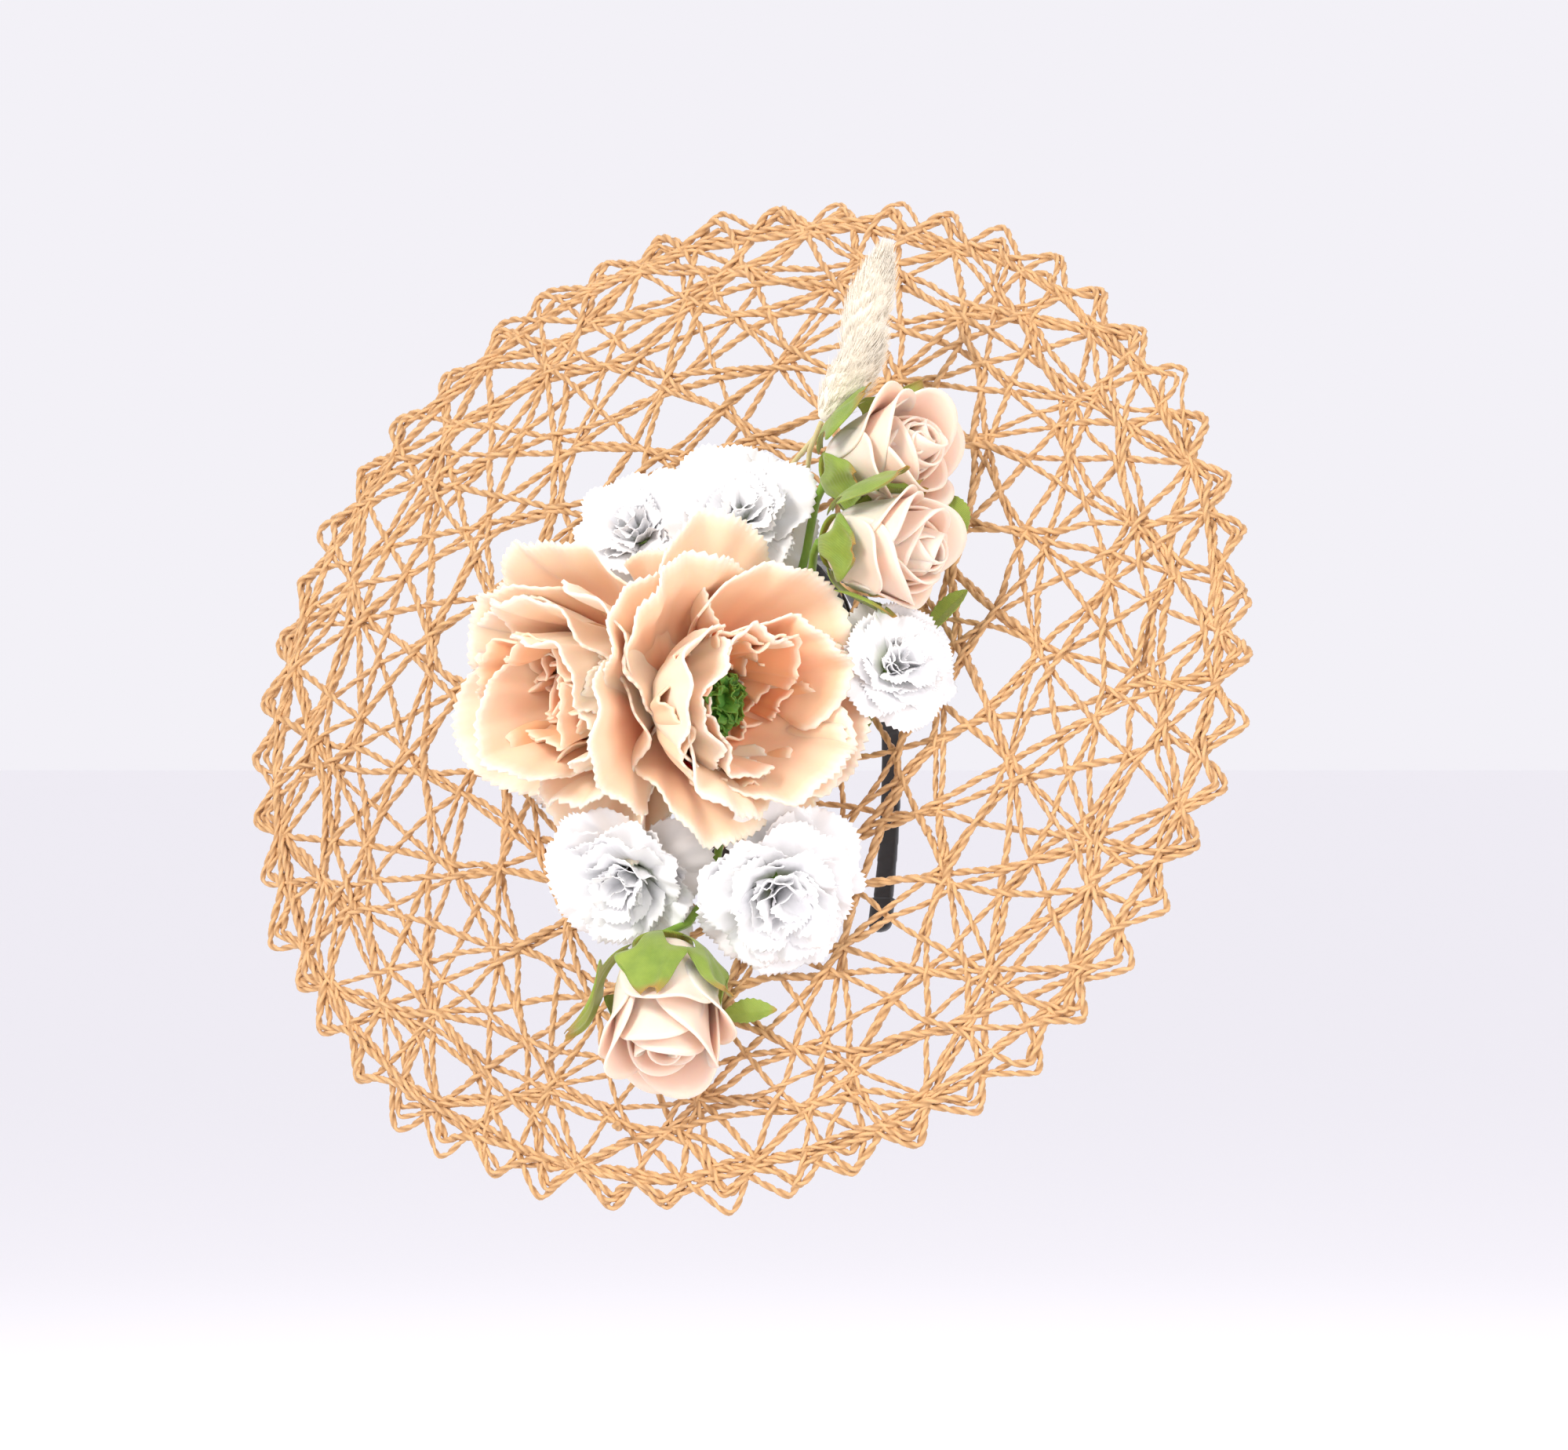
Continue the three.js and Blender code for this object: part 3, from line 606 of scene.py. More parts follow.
def add_band_cap(node, end):
    """A folded satin cap: a flat pouch with a rounded tip and a gathered mouth."""
    line, along, out, _ = band_line(BAND_STEPS)
    start = line[end]
    way = along[end] * (1 if end else -1)
    steps = np.linspace(0, 1, CAP_STEPS)
    reach = 13.6 * steps - 3.2
    width = 4.9 * np.minimum(1, (1 - np.clip((steps - 0.68) / 0.325, 0, 1) ** 2) ** 0.5 + 0.02)
    depth = 1.95 * np.minimum(1, (1 - np.clip((steps - 0.8) / 0.21, 0, 1) ** 2) ** 0.5 + 0.02)
    section = rounded_section(1, 1, 0.55, BAND_SIDES)
    pleat = 1 + 0.035 * np.sin(np.arange(BAND_SIDES) * 2.4)[None] * np.exp(-steps * 5)[:, None]
    points = (start + reach[:, None, None] * way
              + (section[None, :, 0] * width[:, None] * pleat)[..., None] * np.array([1, 0, 0])
              + (section[None, :, 1] * depth[:, None] * pleat)[..., None] * out[end])
    faces = tube_faces(CAP_STEPS, BAND_SIDES)
    if not end:
        faces = [face[:, ::-1] for face in faces]
    settle(make_piece(f"{node}_cap", points.reshape(-1, 3) * 0.001, faces, black_satin),
           node)


black_satin = satin_finish()
add_wrapped_band()
add_band_cap("band_tip_right", 0)
add_band_cap("band_tip_left", BAND_STEPS - 1)

# ------------------------------------------------------------------ strap over the band
# A short strap of the same black felt bridges the band. It is glued to the under felt on both
# sides of it, so that the band can't slide or twist.
def softened(node, width):
    """The CAD node's own shape with its edges rounded over, as a new mesh."""
    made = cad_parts[node].copy()
    made.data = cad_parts[node].data.copy()
    made.name = f"{node}_rounded"
    made.parent = None
    made.matrix_world = Matrix.Identity(4)
    made.hide_render = made.hide_viewport = False
    bpy.context.scene.collection.objects.link(made)
    weld = made.modifiers.new("weld", "WELD")
    weld.merge_threshold = 1e-6
    bevel = made.modifiers.new("bevel", "BEVEL")
    bevel.width, bevel.segments, bevel.limit_method = width, 2, "ANGLE"
    bpy.context.view_layer.update()
    shaped = bpy.data.meshes.new_from_object(
        made.evaluated_get(bpy.context.evaluated_depsgraph_get()))
    made.modifiers.clear()
    made.data = shaped
    shaped.shade_smooth()
    shaped.materials.clear()
    for key in [k for k in made.keys() if k.startswith("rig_")]:
        del made[key]
    return made


def add_rounded(node, width, finish, body="headpiece"):
    piece = softened(node, width)
    piece.data.materials.append(finish)
    return settle(piece, node, body)


add_rounded("band_tab", 0.0003, black_felt)

# ------------------------------------------------------------------ hair clip
# A single-prong clip pressed from sheet steel, nickel plated. The jaw turns on a riveted pin and
# a coil spring of steel wire holds it shut against the plate that is glued to the felt.
def steel_finish(name, light, dark, roughness):
    return mottled_finish(name, roughness, light, dark, 700, (0.12, 0.0001), (1, 0.08, 1),
                          Metallic=1.0, Coat_Weight=0.15)


clip_steel = steel_finish("clip_steel", colour(206, 208, 212), colour(170, 172, 178), 0.26)
spring_steel = steel_finish("spring_steel", colour(168, 170, 174), colour(120, 122, 128), 0.34)
add_rounded("clip_plate", 0.00018, clip_steel)
add_rounded("clip_jaw", 0.00018, clip_steel, "jaw")
add_rounded("clip_pin", 0.0002, clip_steel)


def turning_frame(line):
    """Two cross directions that travel along a line without twisting."""
    along = unit(np.gradient(line, axis=0))
    first = np.cross(along[0], (0.31, 0.2, 0.93))
    across = [first / np.linalg.norm(first)]
    for way in along[1:]:
        carried = across[-1] - way * (across[-1] @ way)
        across.append(carried / np.linalg.norm(carried))
    across = np.array(across)
    return across, np.cross(along, across)


def tube(line, radius, sides):
    """A closed round tube along a line."""
    across, above = turning_frame(line)
    angle = np.linspace(0, 2 * math.pi, sides, endpoint=False)
    points = (line[:, None] + radius * (np.cos(angle)[None, :, None] * across[:, None]
                                        + np.sin(angle)[None, :, None] * above[:, None]))
    return points.reshape(-1, 3), tube_faces(len(line), sides)


WIRE_RADIUS, COIL_REACH, COIL_TURNS = 0.00038, 0.00195, 5


def add_coil():
    low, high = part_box("clip_spring")
    middle = (np.array(low) + np.array(high)) / 2
    half = (high.x - low.x) / 2 - WIRE_RADIUS
    coil_radius = COIL_REACH - WIRE_RADIUS
    walk = np.linspace(0, 1, 220)
    angle = walk * COIL_TURNS * 2 * math.pi
    line = np.column_stack([(2 * walk - 1) * half, coil_radius * np.cos(angle),
                            coil_radius * np.sin(angle)]) + middle
    points, faces = tube(line, WIRE_RADIUS, 10)
    settle(make_piece("clip_spring_coil", points, faces, spring_steel),
           "clip_spring")


add_coil()
add_rounded("band_core", 0.0001, spring_steel)

# ------------------------------------------------------------------ foam peonies
# Each petal is stamped from 1 mm coloured foam sheet with pinking shears' teeth along its rim,
# pressed hot so that it cups and frills, and glued in whorls round a green foam heart. The dye
# is deep orange at the foot and pales to cream at the rim.
class Whorl:
    """Gathers the closed bodies of many petals into one mesh."""

    def __init__(self):
        self.points, self.faces, self.values, self.count = [], [], {}, 0

    def add(self, points, faces, values):
        self.points.append(points)
        self.faces += [face + self.count for face in faces]
        for key, value in values.items():
            self.values.setdefault(key, []).append(
                np.broadcast_to(value, len(points)).astype(float))
        self.count += len(points)

    def piece(self, name, place, finish):
        values = {key: np.concatenate(value) for key, value in self.values.items()}
        return make_piece(name, to_part(place(np.concatenate(self.points))), self.faces, finish,
                          values)


def sheet_body(grid, thickness):
    """A closed body from a grid of points: the sheet, its back, and its edge all round."""
    rows, columns = grid.shape[:2]
    normal = unit(np.cross(np.gradient(grid, axis=1), np.gradient(grid, axis=0)))
    front, rear = grid + normal * thickness / 2, grid - normal * thickness / 2
    points = np.concatenate([front.reshape(-1, 3), rear.reshape(-1, 3)])
    count = rows * columns
    quads = grid_quads(rows, columns, False)
    rim = np.concatenate([np.arange(columns), np.arange(1, rows) * columns + columns - 1,
                          count - 2 - np.arange(columns - 1),
                          (np.arange(rows - 2, 0, -1)) * columns])
    ahead = np.roll(rim, -1)
    edge = np.stack([ahead, rim, rim + count, ahead + count], -1)
    return points, [quads, quads[:, ::-1] + count, edge]


def petal_grid(draw, length, spread, foot, rises, cup, ruffle=0.0, waves=3.0, teeth=0,
               tooth=0.0, rows=16, columns=None, shoulder=0.3, gather=1.0):
    """A fan-shaped petal that stands on +x: its rise angles bend it along its length, cup is
    its cross bend against its distance from the axis, and its rim frills and is toothed."""
    columns = columns or (3 * teeth + 1 if teeth else 25)
    u = np.linspace(-1, 1, columns)[None]
    v = (np.linspace(0.1, 1, rows) ** 0.8)[:, None]
    edge = 1 - shoulder * np.abs(u) ** 3 + 0.05 * np.sin(3.1 * u + draw.uniform(0, 6))
    uneven = 0.75 + 0.25 * np.sin(u * draw.uniform(5, 9) + draw.uniform(0, 6))
    saw = ((u + 1) / 2 * teeth + 1e-6) % 1 / 0.67 if teeth else 0 * u
    walked = v * length * edge - tooth * saw * uneven * v ** 9
    fan = np.radians(spread) * u
    side = walked * np.sin(fan) * gather
    ahead = walked * np.cos(fan)
    steps = np.linspace(0, 1.1, 56)
    rise = np.radians(np.interp(steps, np.linspace(0, 1, len(rises)), rises))
    rise = smoothed(rise[:, None], 3)[:, 0]
    spacing = length * (steps[1] - steps[0])
    radial = foot[0] + np.concatenate([[0], np.cumsum(np.cos(rise[1:]) * spacing)])
    height = foot[1] + np.concatenate([[0], np.cumsum(np.sin(rise[1:]) * spacing)])
    far = np.interp(ahead / length, steps, radial)
    high = np.interp(ahead / length, steps, height)
    lean = np.interp(ahead / length, steps, rise)
    bend = cup * np.maximum(np.abs(far), 3.0) + 2.0
    out = far - bend + bend * np.cos(side / bend)
    across = bend * np.sin(side / bend)
    first, second = draw.uniform(0, 2 * math.pi, 2)
    frill = ruffle * v ** 2.2 * (np.sin(waves * u * math.pi + first)
                                 + 0.45 * np.sin(2.3 * waves * u * math.pi + second))
    out = out - frill * np.sin(lean)
    high = high + frill * np.cos(lean)
    return np.stack([out, across, high], -1), np.broadcast_to(v, out.shape)


def spun(grid, azimuth, tip=0.0):
    """The grid turned about the flower's axis; tip leans it about its own foot first."""
    cos, sin = math.cos(azimuth), math.sin(azimuth)
    out, across, high = grid[..., 0], grid[..., 1], grid[..., 2]
    if tip:
        out, high = (out * math.cos(tip) + high * math.sin(tip),
                     high * math.cos(tip) - out * math.sin(tip))
    return np.stack([out * cos - across * sin, out * sin + across * cos, high], -1)


def add_petals(whorl, draw, count, turn, thickness, tone, scatter=0.18, lean=0.1, **shape):
    """One whorl of petals at nearly even angles."""
    for number in range(count):
        varied = dict(shape)
        varied["length"] = shape["length"] * draw.uniform(0.92, 1.08)
        varied["rises"] = [angle + draw.normal(0, 60 * lean) for angle in shape["rises"]]
        if "foot" in shape:
            varied["cup"] = shape["cup"] * draw.uniform(0.85, 1.25)
        grid, reach = petal_grid(draw, **varied)
        azimuth = turn + 2 * math.pi * number / count + draw.uniform(-scatter, scatter)
        grid = spun(grid, azimuth, draw.normal(0, lean))
        points, faces = sheet_body(grid, thickness)
        own = np.clip(tone + draw.normal(0, 0.12), 0, 1)
        whorl.add(points, faces, {"reach": np.tile(reach.ravel(), 2), "tone": own,
                                  "front": np.repeat([0.0, 1.0], grid[..., 0].size)})


# how high the lowest petals lie above the weave's middle, and how gently they bend to it, in mm
PETAL_REST, PETAL_GIVE = 4.5, 1.4


def flower_place(node, facing, shift=(0, 0, 0)):
    """Where the flower stands: its back is the CAD node's back, azimuth 90 is up the disc, and
    petals that reach the weave bend up and rest on it."""
    axis = np.array(facing, float) / np.linalg.norm(facing)
    corners = to_disc([v.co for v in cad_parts[node].data.vertices])
    along = corners @ axis
    at = corners[along < along.min() + 0.05].mean(0)
    side = np.cross((0, 1, 0), axis)
    side /= np.linalg.norm(side)
    turn = np.array([side, np.cross(axis, side), axis])

    def place(points):
        stood = (np.asarray(points) + np.array(shift)) @ turn + at
        weave_top = PETAL_REST - drop_at(np.hypot(stood[..., 0], stood[..., 1]))
        above = (stood[..., 2] - weave_top) / PETAL_GIVE
        stood[..., 2] = weave_top + PETAL_GIVE * np.logaddexp(0, above)
        return stood
    return place


def foam_finish(name, rim, body, depth, throat, start=0.25):
    """Dyed foam: throat colour low on the petal, body above it, a pale rim."""
    made, tree, shader = new_finish(name, 0.55, Subsurface_Weight=0.3, Subsurface_Scale=0.005,
                                    Sheen_Weight=0.1)
    reach, tone = painted(tree, "reach"), painted(tree, "tone")
    body_tone = mixed(tree, body, depth, tone)
    low = mixed(tree, depth, throat, tone)
    deep = mixed(tree, low, body_tone, ramp(tree, reach, start, 0.78))
    rear = mixed(tree, body, rim, 0.5)
    sided = mixed(tree, rear, deep, painted(tree, "front"))
    edged = mixed(tree, sided, rim, ramp(tree, reach, 0.9, 1.0, 0.75))
    skin = put_mottle(tree, edged, body, 60)
    pores = put_mottle(tree, (1, 1, 1, 1), (0, 0, 0, 1), 1500)
    dress(tree, shader, mixed(tree, edged, skin.outputs["Color"], 0.25), pores.outputs["Height"],
          0.12, 0.0002)
    return made


peach_foam = foam_finish("peach_foam", colour(255, 244, 230), colour(255, 226, 198),
                         colour(255, 198, 158), colour(240, 122, 66))
deep_peach_foam = foam_finish("deep_peach_foam", colour(255, 234, 212), colour(255, 200, 156),
                              colour(250, 160, 104), colour(226, 92, 34), 0.4)
green_heart = mottled_finish("green_heart", 0.6, colour(112, 176, 62), colour(28, 84, 18), 240,
                             (0.4, 0.0005), Subsurface_Weight=0.1)
HEART_FLORETS, GOLDEN_TURN = 46, 2.39996


def heart_whorl(draw, radius):
    """Crinkled green florets: small frilled foam curls crowded over a dome."""
    whorl = Whorl()
    for number in range(HEART_FLORETS):
        fall = math.acos(1 - 0.9 * (number + 0.5) / HEART_FLORETS)
        around = number * GOLDEN_TURN
        grid, _ = petal_grid(draw, length=radius * 0.62, spread=66, foot=(0.3, 0),
                             rises=[70, 80, 20], cup=0.5, ruffle=0.75, waves=4, teeth=5,
                             tooth=0.5, rows=7, gather=0.8)
        axis = np.array([math.sin(fall) * math.cos(around), math.sin(fall) * math.sin(around),
                         math.cos(fall)])
        side = unit(np.cross((0.1, 0.2, 1), axis))
        turn = np.array([side, np.cross(axis, side), axis])
        body, faces = sheet_body(spun(grid, draw.uniform(0, 6.28)), 0.5)
        whorl.add(body @ turn + axis * radius * 0.55 + (0, 0, radius * 0.2), faces,
                  {"reach": 0.5})
    dome, dome_faces = turned_round(
        [(0, -1), (radius * 0.6, 0), (radius * 0.66, radius * 0.4), (radius * 0.4, radius * 0.8),
         (0, radius * 0.92)], 16)
    whorl.add(dome, dome_faces, {"reach": 0.2})
    return whorl


# The right flower opens as a deep bowl; the left one is paler, closed over its heart, and looks
# down and aside. Each row: name, facing, seed, size, shift, degrees closed, depth of colour.
PEONIES = (
    ("peony_right", (0.9, -0.2, 0.39), 3, 1.16, (0, -9, -4), -9, 1.0),
    ("peony_left", (-0.36, -0.58, 0.73), 8, 1.16, (15, 1, -3), 10, 0.25),
)


def peony_whorls(draw, size, closed, tint):
    """The broad outer petals and the frilled inner ones, each as one mesh to be."""
    outer, inner = Whorl(), Whorl()
    add_petals(outer, draw, 6, 0.6, 1.0, 0.25 * tint, length=58 * size, spread=40,
               foot=(3, 0), rises=[4, 24, 40, 22], cup=1.3, ruffle=2.6, waves=2.2,
               teeth=30, tooth=1.9, rows=16, shoulder=0.32, lean=0.12)
    add_petals(outer, draw, 6, 0.3, 1.0, 0.4 * tint, length=64 * size, spread=40,
               foot=(4, 1), rises=[14, 52, 70, 46], cup=0.95, ruffle=2.8, waves=2.5,
               teeth=30, tooth=1.9, rows=18, shoulder=0.34, lean=0.14)
    add_petals(outer, draw, 5, 0.85, 1.0, 0.7 * tint, length=58 * size, spread=38,
               foot=(5, 3), rises=[18, 60, 78, 58], cup=0.8, ruffle=3.2, waves=2.6,
               teeth=27, tooth=1.9, rows=17, shoulder=0.34, lean=0.14)
    add_petals(inner, draw, 5, 0.1, 0.9, 0.6 * tint - 0.2, length=47 * size, spread=37,
               foot=(7, 4), rises=[22, 62 + closed, 82 + closed, 66], cup=0.65, ruffle=4.2,
               waves=2.6, teeth=22, tooth=1.8, rows=15, lean=0.12)
    add_petals(inner, draw, 5, 0.7, 0.9, 0.9 * tint - 0.1, length=34 * size, spread=38,
               foot=(9, 5), rises=[30, 66 + closed, 90 + closed, 78], cup=0.5, ruffle=4.0,
               waves=2.4, teeth=16, tooth=1.6, rows=14, lean=0.12)
    add_petals(inner, draw, 6, 0.5, 0.9, 1.0 * tint, length=17 * size, spread=40,
               foot=(12, 5), rises=[50, 76 + closed, 92 + closed, 112 + 2 * closed], cup=0.4,
               ruffle=2.2, waves=1.6, teeth=9, tooth=1.1, rows=12)
    return outer, inner


for name, facing, seed, size, shift, closed, tint in PEONIES:
    draw = np.random.default_rng(seed)
    outer, inner = peony_whorls(draw, size, closed, tint)
    place = flower_place(f"{name}_outer_petals", facing, shift)
    settle(outer.piece(f"{name}_outer_whorls", place, peach_foam),
           f"{name}_outer_petals")
    settle(inner.piece(f"{name}_inner_whorls", place, deep_peach_foam),
           f"{name}_inner_petals")
    heart = heart_whorl(draw, (10.5 - 0.12 * closed) * size)
    heart_place = flower_place(f"{name}_outer_petals", facing, (shift[0], shift[1], 11))
    settle(heart.piece(f"{name}_florets", heart_place, green_heart),
           f"{name}_heart")

# ------------------------------------------------------------------ carnations
# Stiffened white polyester petals, cut hot so that each rim is frayed into fine teeth, crowded
# in whorls on a green plastic calyx and creased so that they frill against each other.
CARNATIONS = (
    ("carnation_upper_left", (0.1, 0.1, 0.99), 21, 21),
    ("carnation_upper", (0.43, 0.11, 0.9), 25, 22),
    ("carnation_right", (0.72, 0.04, 0.69), 20, 23),
    ("carnation_lower_right", (0.45, -0.7, 0.55), 27, 24),
    ("carnation_lower", (0.03, -0.75, 0.65), 26, 25),
)


def white_finish():
    made, tree, shader = new_finish("white_fabric", 0.8, Sheen_Weight=0.15)
    cloth = put_mottle(tree, colour(255, 255, 255), colour(251, 251, 253), 120)
    whole = mixed(tree, colour(226, 236, 206), cloth.outputs["Color"],
                  ramp(tree, painted(tree, "reach"), 0.1, 0.5))
    place = put(tree, "ShaderNodeTexCoord")
    threads = put(tree, "ShaderNodeTexVoronoi", {"Vector": place.outputs["Object"],
                                                 "Scale": 2600})
    dress(tree, shader, whole, threads.outputs["Distance"], 0.15, 0.0002)
    return made


def plastic_finish(name, light, dark):
    return mottled_finish(name, 0.42, light, dark, 130, (0.2, 0.0004), Subsurface_Weight=0.15,
                          Subsurface_Scale=0.002, Coat_Weight=0.1)


white_fabric = white_finish()
green_stem = plastic_finish("green_stem", colour(150, 190, 70), colour(92, 132, 44))
for name, facing, radius, seed in CARNATIONS:
    draw = np.random.default_rng(seed)
    petals = Whorl()
    for count, turn, length, rises, spread in (
            (6, 0.0, 1.3, [20, 18, 8, -4], 44), (6, 0.4, 1.24, [36, 38, 26, 10], 43),
            (5, 0.1, 1.14, [50, 56, 46, 28], 42), (5, 0.5, 1.02, [64, 72, 62, 44], 38),
            (4, 0.2, 0.88, [80, 86, 78, 58], 38)):
        add_petals(petals, draw, count, turn, 0.28, 0.5, scatter=0.3, lean=0.14,
                   length=length * radius, spread=spread, foot=(1.2, 0.12 * radius),
                   rises=rises, cup=1.4, ruffle=0.08 * radius, waves=1.9, teeth=20,
                   tooth=1.7, rows=12, shoulder=0.2)
    place = flower_place(f"{name}_petals", facing)
    settle(petals.piece(f"{name}_whorls", place, white_fabric),
           f"{name}_petals")
    cup = turned_round([(0, -8.2), (1.4, -8.2), (2.6, -7.6), (3.2, -5), (4.2, -1.5),
                        (5.4, 2.2), (4.8, 2.4), (3.2, 0), (0, -0.4)], 24)
    settle(make_piece(f"{name}_cup", to_part(place(cup[0])), cup[1], green_stem),
           f"{name}_calyx")

# ------------------------------------------------------------------ rose buds
# Blush foam petals wrapped round each other with their tops rolled out, held in a cup of forked
# green satin sepals whose hot-cut tips have browned.
ROSES = (
    ("rose_upper", (0.94, 0.15, 0.3), 20, 43, 31),
    ("rose_middle", (0.98, -0.13, 0.1), 20, 42, 32),
    ("rose_lower", (0.24, -0.97, 0.09), 22, 46, 33),
)
blush_foam = foam_finish("blush_foam", colour(255, 236, 220), colour(253, 222, 203),
                         colour(247, 203, 180), colour(230, 164, 136), 0.1)


def leaf_finish():
    made, tree, shader = new_finish("green_leaf", 0.5, Subsurface_Weight=0.1,
                                    Sheen_Weight=0.2)
    place = put(tree, "ShaderNodeTexCoord")
    green = put_mottle(tree, colour(158, 182, 62), colour(88, 122, 30), 110)
    whole = mixed(tree, green.outputs["Color"], colour(176, 104, 44),
                  ramp(tree, painted(tree, "reach"), 0.86, 1.02, 0.8))
    weave = put(tree, "ShaderNodeTexWave", {"Vector": place.outputs["Object"], "Scale": 620,
                                            "Distortion": 1.0}, bands_direction="DIAGONAL")
    dress(tree, shader, whole, weave.outputs["Fac"], 0.3, 0.0003)
    return made


def forked(grid, draw):
    """Cuts a strap petal to a sepal: narrow, with a long side lobe and a notch at its tip."""
    rows, columns = grid.shape[:2]
    v = np.linspace(0, 1, rows)[:, None]
    u = np.linspace(-1, 1, columns)[None]
    waist = 0.66 + 0.55 * np.exp(-((v - draw.uniform(0.5, 0.62)) / 0.12) ** 2)
    width = waist * (1 - 0.75 * np.clip((v - 0.7) / 0.3, 0, 1) ** 1.5)
    centre = grid[:, columns // 2][:, None]
    narrow = centre + (grid - centre) * width[..., None]
    notch = np.clip((v - 0.72) / 0.28, 0, 1) * (1 - np.abs(u)) * 0.3
    return narrow + (narrow[rows // 2][None] - narrow) * notch[..., None]


green_leaf = leaf_finish()
for name, facing, radius, length, seed in ROSES:
    draw = np.random.default_rng(seed)
    petals = Whorl()
    for count, turn, reach_share, rises, start, cup, tone, spread in (
            (3, 0.2, 0.98, [60, 92, 100, 112], 0.10, 0.72, 0.9, 62),
            (3, 0.9, 1.02, [48, 88, 96, 100], 0.14, 0.84, 0.7, 60),
            (4, 0.4, 1.06, [34, 84, 94, 84], 0.16, 0.95, 0.5, 56),
            (4, 1.1, 1.08, [22, 78, 90, 66], 0.18, 1.0, 0.3, 54),
            (4, 0.7, 1.04, [12, 70, 84, 44], 0.20, 1.05, 0.15, 50)):
        add_petals(petals, draw, count, turn, 0.9, tone, scatter=0.2, lean=0.03,
                   length=reach_share * length * 1.04, spread=spread,
                   foot=(start * radius, 3.6), rises=rises, cup=cup, ruffle=0.9, waves=1.3,
                   rows=16, columns=31, shoulder=0.26, gather=0.74)
    place = flower_place(f"{name}_calyx", facing)
    settle(petals.piece(f"{name}_bud", place, blush_foam), f"{name}_petals")
    sepals = Whorl()
    for number in range(5):
        grid, reach = petal_grid(draw, length=length * draw.uniform(0.9, 1.2), spread=21,
                                 foot=(3.2, 1.6), rises=[4, 58, 84, 62 - 30 * (number % 2)],
                                 cup=1.6, ruffle=1.6, waves=1.2, rows=26, columns=25,
                                 shoulder=0.1, gather=1.0)
        grid = forked(grid, draw)
        grid = spun(grid, number * 2 * math.pi / 5 + draw.uniform(-0.2, 0.2))
        grid[..., :2] *= 1.16
        points, faces = sheet_body(grid, 0.35)
        sepals.add(points, faces, {"reach": np.tile(reach.ravel(), 2)})
    cup_points, cup_faces = turned_round(
        [(0, 0), (2.6, 0), (0.3 * radius, 1.2), (0.46 * radius, 2.6), (0.52 * radius, 3.4),
         (0.44 * radius, 3.6), (0, 3.2)], 28)
    sepals.add(cup_points, cup_faces, {"reach": 0.3})
    settle(sepals.piece(f"{name}_sepals", place, green_leaf), f"{name}_calyx")

# ------------------------------------------------------------------ bunny-tail grasses
# Two dried bunny-tail grass heads, bleached cream: a soft egg of seed fluff whose fine hairs all
# sweep towards the tip, on a thin straw stem.
HAIRS = 2600
HAIR_LENGTH = 8.5
bunny_tail = mottled_finish("bunny_tail", 0.9, colour(255, 250, 238), colour(254, 242, 222), 150,
                            (0.3, 0.0006), Sheen_Weight=0.4)
straw_stem = plastic_finish("straw_stem", colour(232, 224, 176), colour(196, 182, 120))


def node_axis(node):
    """The two ends of a slim CAD node and the direction between them, in the disc's frame."""
    corners = to_disc([v.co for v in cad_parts[node].data.vertices])
    middle = corners.mean(0)
    way = np.linalg.svd(corners - middle)[2][0]
    way = way if way[1] > 0 else -way
    along = (corners - middle) @ way
    return middle + way * along.min(), middle + way * along.max(), way


